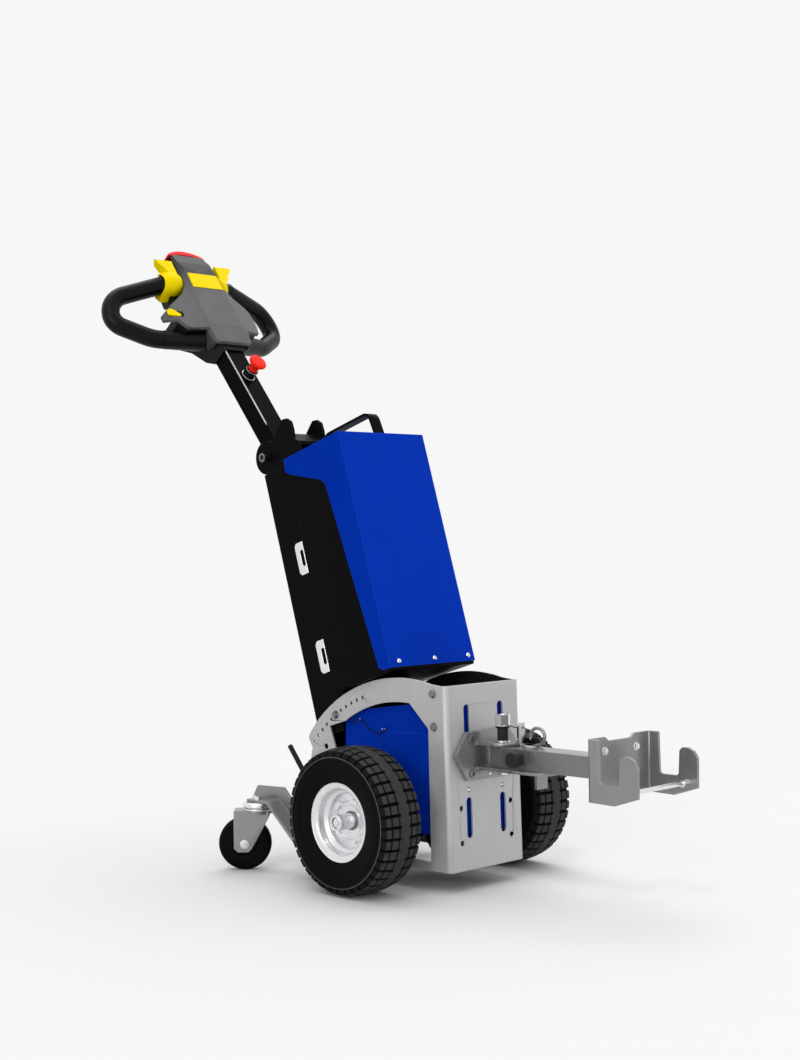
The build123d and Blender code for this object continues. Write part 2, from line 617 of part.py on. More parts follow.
# Emergency stop on the arm's front
with BuildPart() as stop_collar:
    for radius, height in ((13.0, 8.0), (11.0, 16.0), (12.5, 19.0)):
        with BuildSketch(TILLER_FACE.offset(ARM_FRONT)):
            with Locations((STOP_AT, 0)):
                Circle(radius)
        extrude(amount=height)
finish(stop_collar, "stop_collar")

with BuildPart() as stop_button:
    with BuildSketch(TILLER_FACE.offset(ARM_FRONT + 19)):
        with Locations((STOP_AT, 0)):
            Circle(STOP_R - 6)
    extrude(amount=STOP_TOP - ARM_FRONT - 31, taper=-20)
    with BuildSketch(TILLER_FACE.offset(STOP_TOP - 12)):
        with Locations((STOP_AT, 0)):
            Circle(STOP_R)
    extrude(amount=12)
    fillet(stop_button.faces().sort_by(Axis(HINGE, OFF))[-1].edges(), 4)
finish(stop_button, "stop_button")

# Head: moulded cover over a dark housing. Roof section: from the middle outwards, off the arm
ROOF = ((0, 50), (40, 47.5), (52, 41), (92, 31), (104, 26), (118, 2), (118, -12))
SPINE = ((HEAD_START, 37.5), (330, 44), (PAD_AT[0], 48), (478, 50), (510, 46), (538, 38.5), (560, 28))
COVER_PLAN = ((286, 45), (322, 50.6), (327, 92), (353.5, 104), (372, 118), (386, 118), (404, 92), (424, 66),
              (446, 52), (538, 41.4))    # along the arm, from the middle
HOUSING_PLAN = ((HEAD_START, 27), (300, 38), (322, 48), (330, 90), (353, 101), (372, 100), (400, 72), (430, 48),
                (538, 40))
KEEL = ((HEAD_START, ARM_BACK - 1), (288, -29), (322, -38), (372, -31), (430, -16), (500, -8), (542, -4))


def head_blank(plan, drop):
    """Plan outline cut to the head's crowned top, lowered by a drop."""
    with BuildPart() as blank:
        with BuildSketch(TILLER_FACE.offset(-60)):
            with BuildLine():
                near_side = [(along, out) for along, out in plan]
                far_side = [(along, -out) for along, out in reversed(plan)]
                Polyline(far_side[-1], *near_side)
                ThreePointArc(near_side[-1], (near_side[-1][0] + 8, 0), far_side[0])
                Polyline(*far_side)
            make_face()
        extrude(amount=120)
        with BuildSketch(TILLER_SIDE):
            with BuildLine():
                Polyline(*[(along, off - drop) for along, off in SPINE], (560, -60), (HEAD_START - 20, -60),
                         (HEAD_START - 20, 36 - drop), close=True)
            make_face()
        extrude(amount=130, both=True, mode=Mode.INTERSECT)
        with BuildSketch(TILLER_END.offset(HEAD_START - 20)):
            with BuildLine():
                right = [(out, off - drop) for out, off in ROOF]
                left = [(-out, off - drop) for out, off in reversed(ROOF)]
                Polyline(*right, (118, -70), (-118, -70), *left)
            make_face()
        extrude(amount=320, mode=Mode.INTERSECT)
    return blank


cover_blank = head_blank(COVER_PLAN, 0)
cover_core = head_blank(((200, 130), (560, 130)), HEAD_WALL)
slider_low = TILLER_SIDE.from_local_coords(SLIDER_ENDS[0])
slider_high = TILLER_SIDE.from_local_coords(SLIDER_ENDS[1])
slider_run = slider_high - slider_low
slider_normal = slider_run.cross(Vector(*ALONG)).normalized() * -1
SLIDER = Plane(origin=(slider_low + slider_high) / 2, x_dir=slider_run, z_dir=slider_normal)
with BuildPart() as slider:
    with BuildSketch(SLIDER.offset(-4)):
        SlotOverall(slider_run.length, SLIDER_W)
    extrude(amount=8)
finish(slider, "slider")

with BuildPart() as head_cover:
    add(cover_blank.part)
    add(cover_core.part, mode=Mode.SUBTRACT)
    # Skirts beside the arm
    for near in (-50.0, 45.0):
        with BuildSketch(TILLER_SIDE.offset(near)):
            with BuildLine():
                Polyline((287, 30), (326, 36), (316, 20), (291, 5), (285, 26), close=True)
            make_face()
        extrude(amount=5)
    # Seat of the horn pad
    with BuildSketch(TILLER_FACE.offset(40.5)):
        with BuildLine():
            Polyline((PAD_AT[0], 40), (PAD_AT[1], 37.4), (PAD_AT[1], -37.4), (PAD_AT[0], -40), close=True)
        make_face()
    extrude(amount=20, mode=Mode.SUBTRACT)
    add(slider.part, mode=Mode.SUBTRACT)
finish(head_cover, "head_cover")

with BuildPart() as horn_pad:
    with BuildSketch(TILLER_SIDE):
        with BuildLine():
            Polyline((PAD_AT[0], 40.5), (PAD_AT[1], 40.5), (PAD_AT[1], 51.3), (PAD_AT[0], 49.5), close=True)
        make_face()
    extrude(amount=40, both=True)
    with BuildSketch(TILLER_FACE.offset(40.5)):
        with BuildLine():
            Polyline((PAD_AT[0], 40), (PAD_AT[1], 37.4), (PAD_AT[1], -37.4), (PAD_AT[0], -40), close=True)
        make_face()
    extrude(amount=20, mode=Mode.INTERSECT)
finish(horn_pad, "horn_pad")

TILT = radians(LOOP_TILT)
SWEEP = radians(LOOP_SWEEP)
LOOP_UP = Vector(*ALONG) * cos(TILT) + Vector(*OFF) * sin(TILT)
LOOP_OFF = Vector(*OFF) * cos(TILT) - Vector(*ALONG) * sin(TILT)
LOOP_PATH = ((104.0, 23.0), (80.8, 150.0), (22.0, 156.0), (-24.6, 82.0), (-28.1, 60.0))   # along, outwards
LOOP_BENDS = (50.0, 33.0, 95.0)
BOOT = ((0.0, LOOP_R + 0.6), (45.0, LOOP_R + 2), (86.0, LOOP_R + 3))   # along the last run, radius


def loop_plane(side):
    """Plane of one grip loop: x along the arm, y outwards and swept back."""
    out = Vector(0, side * cos(SWEEP), 0) - LOOP_OFF * sin(SWEEP)
    root = TILLER_SIDE.from_local_coords((LOOP_AT[0], LOOP_AT[1], side * LOOP_ROOT))
    return Plane(origin=root, x_dir=LOOP_UP, z_dir=LOOP_UP.cross(out))


grips = []
for side, name in ((-1, "grip_right"), (1, "grip_left")):
    plane = loop_plane(side)
    with BuildPart() as grip:
        with BuildLine(plane) as loop_path:
            FilletPolyline(*LOOP_PATH, radius=LOOP_BENDS)
        with BuildSketch(Plane(origin=loop_path.wire() @ 0, z_dir=loop_path.wire() % 0)):
            Circle(LOOP_R)
        sweep(path=loop_path.wire())
    finish(grip, name)
    grips.append(grip)

with BuildPart() as belly_button:
    with BuildSketch(TILLER_FACE.offset(-4)):
        with BuildLine():
            ThreePointArc((539, BELLY_HALF), (547, 0), (539, -BELLY_HALF))
            Line((539, -BELLY_HALF), (544, 2 - BELLY_HALF))
            ThreePointArc((544, 2 - BELLY_HALF), (557, 0), (544, BELLY_HALF - 2))
            Line((544, BELLY_HALF - 2), (539, BELLY_HALF))
        make_face()
    extrude(amount=40)
    add(head_cover.part, mode=Mode.SUBTRACT)
finish(belly_button, "belly_button")

with BuildPart() as head_housing:
    add(head_blank(HOUSING_PLAN, HEAD_WALL + RUN_GAP).part)
    with BuildSketch(TILLER_SIDE):
        with BuildLine():
            Polyline(*KEEL, (560, 60), (HEAD_START, 60), close=True)
        make_face()
    extrude(amount=130, both=True, mode=Mode.INTERSECT)
    # Boots of the lower grips and hubs of the paddles
    for side in (-1, 1):
        start = Vector(*LOOP_PATH[-1])
        run = (start - Vector(*LOOP_PATH[-2])).normalized()
        plane = loop_plane(side)
        heading = plane.from_local_coords(run) - plane.origin
        for reach, radius in BOOT:
            at = start + run * reach
            with BuildSketch(Plane(origin=plane.from_local_coords(at), z_dir=heading)):
                Circle(radius)
        loft()
        with BuildSketch(TILLER_SIDE.offset(side * 30)):
            with Locations(PADDLE_AXIS):
                Circle(PADDLE_BORE - FIT)
        extrude(amount=side * (LOOP_ROOT - 6))
    with BuildSketch(TILLER_SIDE):
        with BuildLine():
            Polyline((200, ARM_BACK), (ARM_END, ARM_BACK), (ARM_END, ARM_FRONT), (200, ARM_FRONT), close=True)
        make_face()
    extrude(amount=ARM_HALF, both=True, mode=Mode.SUBTRACT)
    for seated in (head_cover, horn_pad, slider, belly_button, *grips):
        add(seated.part, mode=Mode.SUBTRACT)
finish(head_housing, "head_housing")

# Paddles: a barrel round the grip's root, a wing above it and a lip under it
WING_SIDE = ((PADDLE_AXIS[0] + 4, 41), (PADDLE_AXIS[0] + 32, 43), (511, 44), (515, 40), (508, 32),
             (PADDLE_AXIS[0] + 26, 24))      # along the arm, off the arm
WING_PLAN = ((470, 58), (517, 58), (516, 100), (504, 98), (488, 84), (470, 76))    # along, from the middle
LIP_SIDE = ((448, 6), (440, 8), (434, -2), (438, -9), (458, -15), (460, -8))
LIP_ENDS = (57.0, 93.0)
for side, name, grip, barrel_end in ((-1, "paddle_right", grips[0], PADDLE_OUT[0]),
                                     (1, "paddle_left", grips[1], PADDLE_OUT[1])):
    with BuildPart() as wing:
        with BuildSketch(TILLER_SIDE):
            with BuildLine():
                Polyline(*WING_SIDE, close=True)
            make_face()
        extrude(amount=side * 120)
        with BuildSketch(TILLER_FACE):
            with BuildLine():
                Polyline(*[(along, -side * out) for along, out in WING_PLAN], close=True)
            make_face()
        extrude(amount=70, mode=Mode.INTERSECT)
        with BuildSketch(TILLER_SIDE.offset(side * LIP_ENDS[0])):
            with BuildLine():
                Polyline(*LIP_SIDE, close=True)
            make_face()
        extrude(amount=side * (LIP_ENDS[1] - LIP_ENDS[0]))
    axis = Axis(TILLER_SIDE.from_local_coords((PADDLE_AXIS[0], PADDLE_AXIS[1], 0)), (0, 1, 0))
    outward = Vector(0, side, 0)
    radial = Vector(*ALONG) * cos(radians(20)) + Vector(*OFF) * sin(radians(20))
    with BuildPart() as paddle:
        with BuildSketch(Plane(origin=axis.position, x_dir=outward, z_dir=outward.cross(radial))):
            with BuildLine():
                Line((PADDLE_IN, PADDLE_BORE), (PADDLE_IN, PADDLE_BORE + 6))
                ThreePointArc((PADDLE_IN, PADDLE_BORE + 6), ((PADDLE_IN + barrel_end) / 2, PADDLE_BORE + 10),
                              (barrel_end, PADDLE_BORE + 2))
                Line((barrel_end, PADDLE_BORE + 2), (barrel_end, PADDLE_BORE))
                Line((barrel_end, PADDLE_BORE), (PADDLE_IN, PADDLE_BORE))
            make_face()
        revolve(axis=axis, revolution_arc=200)
        add(wing.part)
        with BuildSketch(TILLER_SIDE):
            with Locations(PADDLE_AXIS):
                Circle(PADDLE_BORE)
        extrude(amount=side * 120, mode=Mode.SUBTRACT)
        add(grip.part, mode=Mode.SUBTRACT)
    finish(paddle, name)

# Castor carriers behind the drive wheels
BEAM_END = CASTOR_Y - 25      # cut end of the tube from the centre plane
with BuildPart() as castor_beam:
    with BuildSketch(SIDE):
        with Locations((BEAM_X, BEAM_Z)):
            Rectangle(BEAM_SIZE, BEAM_SIZE)
            Rectangle(BEAM_SIZE - 2 * BEAM_T, BEAM_SIZE - 2 * BEAM_T, mode=Mode.SUBTRACT)
    extrude(amount=BEAM_END, both=True)
finish(castor_beam, "castor_beam")

ARM_FOOT = BEAM_Z - BEAM_SIZE / 2 - 5      # lowest edge of the carriers
with BuildPart() as castor_arm_right:
    with BuildSketch(SIDE.offset(CASTOR_Y - 20)):
        with BuildLine():
            Polyline((CASTOR_X - 20, CASTOR_H), (CASTOR_X - 20, CASTOR_H + BRACKET_T),
                     (CASTOR_X + 39, CASTOR_H + BRACKET_T), (BEAM_X + 29, ARM_FOOT + BRACKET_T),
                     (BEAM_X + 35, ARM_FOOT + BRACKET_T), (BEAM_X + 35, ARM_FOOT), (BEAM_X + 27, ARM_FOOT),
                     (CASTOR_X + 37, CASTOR_H), close=True)
        make_face()
    extrude(amount=32)
    with BuildSketch(SIDE.offset(BEAM_END)):
        with BuildLine():
            Polyline((CASTOR_X - 42, CASTOR_H), (CASTOR_X - 25, CASTOR_H + 27), (CASTOR_X + 50, CASTOR_H + 30),
                     (BEAM_X + 35, ARM_FOOT + 29), (BEAM_X + 35, ARM_FOOT), (BEAM_X + 27, ARM_FOOT),
                     (CASTOR_X + 37, CASTOR_H), close=True)
        make_face()
    extrude(amount=BRACKET_T)
    with BuildSketch(PLAN.offset(CASTOR_H)):
        with Locations((CASTOR_X, -CASTOR_Y)):
            Circle(KING_R + FIT)
    extrude(amount=BRACKET_T, mode=Mode.SUBTRACT)
finish(castor_arm_right, "castor_arm_right")
castor_arm_left = mirrored(castor_arm_right)
finish(castor_arm_left, "castor_arm_left")

# Castors: fixed head, swivelling fork, wheel. Fork plane: trail sideways, up, across
TURN = radians(CASTOR_TURN)
CROWN_TOP = CROWN_Z + CROWN_T
BRACKET_TOP = CASTOR_H + BRACKET_T


def castor_pieces(side):
    """Head, fork and wheel of one castor; side is -1 on the right and 1 on the left."""
    centre = (AXLE_X + CASTOR_X, side * CASTOR_Y, 0)
    trail = (-cos(TURN), side * sin(TURN), 0)
    across = (side * sin(TURN), cos(TURN), 0)
    fork_side = Plane(origin=centre, x_dir=trail, z_dir=(side * across[0], side * across[1], 0))
    if fork_side.y_dir.Z < 0:
        fork_side = Plane(origin=centre, x_dir=trail, z_dir=(-side * across[0], -side * across[1], 0))
    crown = Plane(origin=(centre[0], centre[1], CROWN_Z))
    with BuildPart() as head:
        with BuildSketch(Plane(origin=centre, x_dir=(1, 0, 0), z_dir=(0, -1, 0))):
            with BuildLine():
                Polyline((0, CROWN_Z), (KING_R + 3, CROWN_Z), (KING_R + 3, CROWN_Z + 3), (KING_R, CROWN_Z + 3),
                         (KING_R, CROWN_TOP + FIT), (CROWN_R - 3, CROWN_TOP + FIT), (CROWN_R - 3, CASTOR_H),
                         (KING_R, CASTOR_H), (KING_R, BRACKET_TOP), (KING_R + 4, BRACKET_TOP),
                         (KING_R + 4, BRACKET_TOP + 6), (0, BRACKET_TOP + 6), close=True)
            make_face()
        revolve(axis=Axis(centre, (0, 0, 1)))
    with BuildPart() as fork:
        with BuildSketch(fork_side):
            with BuildLine():
                Polyline((CASTOR_TRAIL + 20, CASTOR_R - 8), (CASTOR_TRAIL + 20, CROWN_Z + 7), (-20, CROWN_Z + 7),
                         (-20, CROWN_Z - 9), (CASTOR_TRAIL - 14, CASTOR_R - 8), (CASTOR_TRAIL - 7, CASTOR_R - 15),
                         (CASTOR_TRAIL + 13, CASTOR_R - 15), close=True)
            make_face()
        extrude(amount=FORK_IN + FORK_SHEET, both=True)
        with BuildSketch(fork_side):
            with Locations((15, CROWN_Z / 2)):
                Rectangle(80, CROWN_Z)
        extrude(amount=FORK_IN, both=True, mode=Mode.SUBTRACT)
        with BuildSketch(crown):
            Circle(CROWN_R)
        extrude(amount=CROWN_T)
        with BuildSketch(crown):
            Circle(KING_R + FIT)
        extrude(amount=CROWN_T, mode=Mode.SUBTRACT)
        with BuildSketch(crown):
            Circle(KING_R + 3 + RUN_GAP)
        extrude(amount=3 + FIT, mode=Mode.SUBTRACT)
        with BuildSketch(fork_side):
            with Locations((CASTOR_TRAIL, CASTOR_R)):
                Circle(KING_R)
        extrude(amount=FORK_IN + FORK_SHEET + 3.5, both=True)
    with BuildPart() as wheel:
        with BuildSketch(fork_side):
            with Locations((CASTOR_TRAIL, CASTOR_R)):
                Circle(CASTOR_R)
                Circle(KING_R + FIT, mode=Mode.SUBTRACT)
        extrude(amount=CASTOR_W / 2, both=True)
        chamfer(wheel.edges().filter_by(GeomType.CIRCLE).group_by(SortBy.RADIUS)[-1], 3)
    return head, fork, wheel


for side, hand in ((-1, "right"), (1, "left")):
    head, fork, wheel = castor_pieces(side)
    finish(head, f"castor_head_{hand}")
    finish(fork, f"castor_fork_{hand}")
    finish(wheel, f"castor_wheel_{hand}")

# Release lever with its lug on the cross tube, behind the motor
LEVER_Y = 60.0
LEVER_ROD_R = 5.0
LEVER_PATH = ((-190.0, 93.0), (-235.0, 107.0), (-330.0, 221.0))
with BuildPart() as release_lever:
    with BuildLine(SIDE.offset(LEVER_Y)) as lever_path:
        FilletPolyline(*LEVER_PATH, radius=25)
    with BuildSketch(Plane(origin=lever_path.wire() @ 0, z_dir=lever_path.wire() % 0)):
        Circle(LEVER_ROD_R)
    sweep(path=lever_path.wire())
    lug_foot = BEAM_Z + BEAM_SIZE / 2
    with BuildSketch(SIDE.offset(LEVER_Y - LEVER_ROD_R)):
        with BuildLine():
            Polyline((BEAM_X - 16, lug_foot), (BEAM_X + 16, lug_foot), (BEAM_X + 6, lug_foot + 20),
                     (BEAM_X - 10, lug_foot + 20), close=True)
        make_face()
    extrude(amount=2 * LEVER_ROD_R)
finish(release_lever, "release_lever")

# Hitch flange on the front plate, with an upper and a longer lower yoke plate
FLANGE = ((-86, 241), (-56, 281), (56, 281), (86, 241), (56, 195), (-56, 195))   # across, up
FLANGE_T = 10.0
YOKE_START = FRAME_FRONT + 3.0
YOKE_TOP = HITCH_Z + YOKE_GAP + YOKE_T
SHELF_END = HITCH_X + 118.0       # the lower plate reaches under the bar
with BuildPart() as hitch_flange:
    with BuildSketch(FACE):
        with BuildLine():
            Polyline(*[(across, up - TYRE_R) for across, up in FLANGE], close=True)
        make_face()
    extrude(amount=FLANGE_T)
    with BuildSketch(PLAN.offset(HITCH_Z + YOKE_GAP)):
        with BuildLine():
            Polyline((YOKE_START, -YOKE_R), (HITCH_X, -YOKE_R))
            ThreePointArc((HITCH_X, -YOKE_R), (HITCH_X + YOKE_R, 0), (HITCH_X, YOKE_R))
            Polyline((HITCH_X, YOKE_R), (YOKE_START, YOKE_R), (YOKE_START, -YOKE_R))
        make_face()
    extrude(amount=YOKE_T)
    with BuildSketch(PLAN.offset(HITCH_Z - YOKE_GAP - YOKE_T)):
        with BuildLine():
            Polyline((YOKE_START, -YOKE_R), (SHELF_END - 66, -YOKE_R), (SHELF_END - 14, 5 - YOKE_R),
                     (SHELF_END, -12), (SHELF_END, 12), (SHELF_END - 14, YOKE_R - 5), (SHELF_END - 66, YOKE_R),
                     (YOKE_START, YOKE_R), close=True)
        make_face()
    extrude(amount=YOKE_T)
    # Tab bent down from the lower plate
    with BuildSketch(SIDE):
        with BuildLine():
            Polyline((SHELF_END - 33, HITCH_Z - YOKE_GAP - YOKE_T), (SHELF_END - 27, HITCH_Z - YOKE_GAP - YOKE_T),
                     (SHELF_END - 27, HITCH_Z - 51), (SHELF_END - 33, HITCH_Z - 51), close=True)
        make_face()
    extrude(amount=14, both=True)
    with BuildSketch(PLAN.offset(HITCH_Z - YOKE_GAP - YOKE_T)):
        with Locations((HITCH_X, 0)):
            Circle(HITCH_PIN_R + FIT)
    extrude(amount=2 * YOKE_GAP + 2 * YOKE_T, mode=Mode.SUBTRACT)
finish(hitch_flange, "hitch_flange")

# Hitch pin: sleeve and hexagon head above, nut below
HEX_FLATS = 24.0
SLEEVE_H = 27.0
with BuildPart() as hitch_pin:
    with BuildSketch(PLAN.offset(HITCH_Z - YOKE_GAP - YOKE_T)):
        with Locations((HITCH_X, 0)):
            Circle(HITCH_PIN_R)
    extrude(amount=YOKE_TOP - HITCH_Z + YOKE_GAP + YOKE_T)
    with BuildSketch(PLAN.offset(HITCH_Z - YOKE_GAP - YOKE_T - 8)):
        with Locations((HITCH_X, 0)):
            RegularPolygon(HEX_FLATS / 2 - 2, 6, major_radius=False)
    extrude(amount=8)
    with BuildSketch(PLAN.offset(YOKE_TOP)):
        with Locations((HITCH_X, 0)):
            Circle(9)
    extrude(amount=SLEEVE_H)
    with BuildSketch(PLAN.offset(YOKE_TOP + SLEEVE_H)):
        with Locations((HITCH_X, 0)):
            RegularPolygon(HEX_FLATS / 2, 6, major_radius=False)
    extrude(amount=21)
finish(hitch_pin, "hitch_pin")

# Tow bar
with BuildPart() as tow_bar:
    with BuildSketch(PLAN.offset(HITCH_Z - BAR_H / 2)):
        with BuildLine():
            Polyline((HITCH_X - 14, -19), (HITCH_X + 18, -BAR_W / 2), (FORK_X, -BAR_W / 2), (FORK_X, BAR_W / 2),
                     (HITCH_X + 18, BAR_W / 2), (HITCH_X - 14, 19), close=True)
        make_face()
        with Locations((HITCH_X, 0)):
            Circle(HITCH_PIN_R + FIT, mode=Mode.SUBTRACT)
    extrude(amount=BAR_H)
finish(tow_bar, "tow_bar")

# Locking knob: neck, then a wide disc
KNOB_AT = (HITCH_X + 62.5, HITCH_Z + 1.5)
with BuildPart() as bar_knob:
    for near, radius, length in ((0.0, 7.0, 13.0), (13.0, 14.0, 13.0)):
        with BuildSketch(SIDE.offset(BAR_W / 2 + near)):
            with Locations(KNOB_AT):
                Circle(radius)
        extrude(amount=length)
finish(bar_knob, "bar_knob")

# Fork bracket: U-bent plate with notched cheeks. Cheek outline: forward of the back plate, up
CHEEK_LINE = ((0, 191), (0, FORK_TOP), (25, FORK_TOP), (27, FORK_SEAT + 4), (31, FORK_SEAT), (62, FORK_SEAT),
              (66, FORK_SEAT + 4), (68, 266), (74, 271.5), (86, 271.5), (98, 266), (FORK_LENGTH, 255),
              (FORK_LENGTH - 0.5, 205.5), (56, FORK_LOW - 1))
with BuildPart() as fork_bracket:
    with BuildSketch(PLAN.offset(FORK_LOW - 5)):
        with BuildLine():
            FilletPolyline((FORK_X + FORK_LENGTH, FORK_HALF), (FORK_X, FORK_HALF), (FORK_X, -FORK_HALF),
                           (FORK_X + FORK_LENGTH, -FORK_HALF), radius=8)
            FilletPolyline((FORK_X + FORK_LENGTH, FORK_HALF - FORK_T), (FORK_X + FORK_T, FORK_HALF - FORK_T),
                           (FORK_X + FORK_T, FORK_T - FORK_HALF), (FORK_X + FORK_LENGTH, FORK_T - FORK_HALF),
                           radius=3)
            Line((FORK_X + FORK_LENGTH, FORK_HALF), (FORK_X + FORK_LENGTH, FORK_HALF - FORK_T))
            Line((FORK_X + FORK_LENGTH, -FORK_HALF), (FORK_X + FORK_LENGTH, FORK_T - FORK_HALF))
        make_face()
    extrude(amount=FORK_TOP - FORK_LOW + 10)
    with BuildSketch(SIDE):
        with BuildLine():
            Polyline(*[(FORK_X + ahead, up) for ahead, up in CHEEK_LINE], close=True)
        make_face()
    extrude(amount=FORK_HALF, both=True, mode=Mode.INTERSECT)
    # Shallow notch in the back plate's top edge
    with BuildSketch(FRONT.offset(FORK_X)):
        with BuildLine():
            Polyline((-40, FORK_TOP + 1), (-29, FORK_TOP - 7), (29, FORK_TOP - 7), (40, FORK_TOP + 1), close=True)
        make_face()
    extrude(amount=FORK_T, mode=Mode.SUBTRACT)
finish(fork_bracket, "fork_bracket")

# Cross rod with a nut at each cheek
ROD_AT = (FORK_X + 78, 212)
with BuildPart() as cross_rod:
    rod_half = FORK_HALF - FORK_T
    with BuildSketch(SIDE.offset(-rod_half)):
        with Locations(ROD_AT):
            Circle(ROD_R)
    extrude(amount=2 * rod_half)
    for near in (-rod_half, rod_half - 7):
        with BuildSketch(SIDE.offset(near)):
            with Locations(ROD_AT):
                RegularPolygon(6.5, 6, major_radius=False)
        extrude(amount=7)
finish(cross_rod, "cross_rod")
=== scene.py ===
"""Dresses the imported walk-behind electric tug: finishes on its nodes, detailed tyres, rims, castors and
fittings, and a plain studio. Laid out as an add-on, run as a script."""

import json
from math import atan2, cos, pi, radians, sin, tan

import bmesh
import bpy
from bpy.props import FloatProperty, FloatVectorProperty, IntProperty, PointerProperty
from mathutils import Matrix, Vector


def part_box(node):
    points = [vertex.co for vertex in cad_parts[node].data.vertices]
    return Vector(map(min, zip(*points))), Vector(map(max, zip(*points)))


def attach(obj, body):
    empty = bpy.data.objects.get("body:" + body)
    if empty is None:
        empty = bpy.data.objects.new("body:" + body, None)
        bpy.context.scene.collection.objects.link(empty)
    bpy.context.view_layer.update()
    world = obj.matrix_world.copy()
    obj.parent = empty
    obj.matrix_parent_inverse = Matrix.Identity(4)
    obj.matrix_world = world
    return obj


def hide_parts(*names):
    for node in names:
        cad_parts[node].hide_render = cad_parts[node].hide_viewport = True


bl_info = {
    "name": "Walk-behind electric tug",
    "version": (1, 0, 0),
    "blender": (4, 5, 0),
    "location": "3D View > Sidebar > Tug",
    "description": "Finishes and fittings of a walk-behind electric tug",
    "category": "Object",
}

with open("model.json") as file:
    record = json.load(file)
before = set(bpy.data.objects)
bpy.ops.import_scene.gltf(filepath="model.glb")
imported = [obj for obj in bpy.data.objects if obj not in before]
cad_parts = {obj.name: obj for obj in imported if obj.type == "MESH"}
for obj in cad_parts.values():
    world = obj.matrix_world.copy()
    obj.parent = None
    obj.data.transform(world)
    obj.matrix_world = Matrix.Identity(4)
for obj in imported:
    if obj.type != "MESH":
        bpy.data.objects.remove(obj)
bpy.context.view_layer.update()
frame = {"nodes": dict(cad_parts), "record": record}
MM = 0.001


def middle_of(node):
    """Middle of a CAD node's box, in millimetres."""
    low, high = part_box(node)
    return (low + high) / 2 / MM


def half_size(node):
    """Half of a CAD node's box, in millimetres."""
    low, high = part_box(node)
    return (high - low) / 2 / MM


# Driving places, in millimetres, measured from the ground under the drive axle; X forward, Y left, Z up
AXLE = middle_of("rim_right")
AXLE_X = AXLE.x
AXLE_Z = AXLE.z
TRACK_HALF = -AXLE.y
TYRE_R = half_size("tyre_right").z
TYRE_HALF = half_size("tyre_right").y
RIM_R = half_size("rim_right").z
HUB_R = 14.0
HUB_END = 45.0                    # outwards from the tyre's middle
TREAD_GROOVES = (13.9, 30.0)      # middles of the grooves round the tyre, across from its middle
SLOT_SHARE = 0.3                  # share of each tread block's pitch that the slot across it takes
FRAME_LEAN = 1.7
FACE_AT = (134.0, 130.0)          # forward and up: a point of the leaning front face
COLUMN_LEAN = 17.0
COLUMN_FOOT = (-160.2, 322.9)     # a point of the column's front line
COVER_FRONT = 180.0               # face of the battery cover ahead of that line
TILLER_LEAN = 38.7
HINGE = (-409.5, 788.0)
HITCH = (174.0, 238.0)
BAR_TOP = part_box("tow_bar")[1].z / MM
YOKE_TOP = 263.1
FORK_X = 430.0
MOTOR_SIDE_Y = -84.1              # right side of the motor cover
CASTOR_X = -302.0
CASTOR_Y = 166.0
CASTOR_R = 50.0
CASTOR_W = 25.0
CASTOR_TRAIL = 25.0
CASTOR_TURN = 45.0
SIDES = ((-1, "right"), (1, "left"))

# Camera of the photograph: place, turn and lens
CAMERA_AT = (2181.5, -2245.1, 629.4)
CAMERA_YAW = 44.819
CAMERA_PITCH = -0.189
CAMERA_ROLL = -0.694
CAMERA_FOCAL = 1697.21            # focal length in pixels of a frame 1060 high
FRAME_PIXELS = (800, 1060)


# Colours
def hex_colour(code):
    """Linear RGBA of an sRGB hex value."""
    channels = [int(code[i:i + 2], 16) / 255 for i in (1, 3, 5)]
    return tuple(c / 12.92 if c <= 0.04045 else ((c + 0.055) / 1.055) ** 2.4 for c in channels) + (1.0,)


def colour_choice(name, description, code):
    """A colour property with its default."""
    return FloatVectorProperty(name=name, description=description, subtype="COLOR", size=4, min=0, max=1,
                               default=hex_colour(code))


class TugColours(bpy.types.PropertyGroup):
    """Colours that the finishes start from"""
    cover: colour_choice("Battery cover", "Powder coat of the covers", "#0134B2")
    coat: colour_choice("Black coat", "Powder coat of column, bracket and arm", "#080809")
    zinc: colour_choice("Zinc sheet", "Plated frame, fork and castor sheet", "#CDCDCE")
    bright: colour_choice("Bright zinc", "Plated screws, pins and rims", "#E6E6E8")
    rubber: colour_choice("Tyre rubber", "Side walls and grooves", "#0A0A0B")
    tread: colour_choice("Tread", "Dusty faces of the tread blocks", "#3F3F40")
    head: colour_choice("Head cover", "Moulded cover of the tiller head", "#646466")
    paddle: colour_choice("Paddles", "Moulded paddles and horn pad", "#FFE004")
    stop: colour_choice("Stop parts", "Stop button and reverse button", "#FF2410")
    floor: colour_choice("Floor", "Pale studio floor", "#E4E4E4")


class TugSizes(bpy.types.PropertyGroup):
    """Roundings of the edges and measures of the tread"""
    edge: FloatProperty(name="Sheet edge", description="Rounding of cut and bent sheet edges", default=0.0009,
                        min=0.0, max=0.004, unit="LENGTH")
    soft_edge: FloatProperty(name="Moulded edge", description="Rounding of moulded edges", default=0.0022,
                             min=0.0, max=0.008, unit="LENGTH")
    tread_depth: FloatProperty(name="Tread depth", description="Depth of the tread grooves", default=0.005,
                               min=0.001, max=0.01, unit="LENGTH")
    tread_blocks: IntProperty(name="Tread blocks", description="Blocks round one tyre", default=40, min=12,
                              max=80)
    groove: FloatProperty(name="Groove width", description="Width of the grooves round the tyre",
                          default=0.0034, min=0.001, max=0.008, unit="LENGTH")


def sizes():
    """The scene's sizes."""
    return bpy.context.scene.tug_sizes


def colours():
    """The scene's colours."""
    return bpy.context.scene.tug_colours


# Materials
def live_output(node):
    """The first output that a node has in its present mode."""
    return next(socket for socket in node.outputs if socket.enabled)


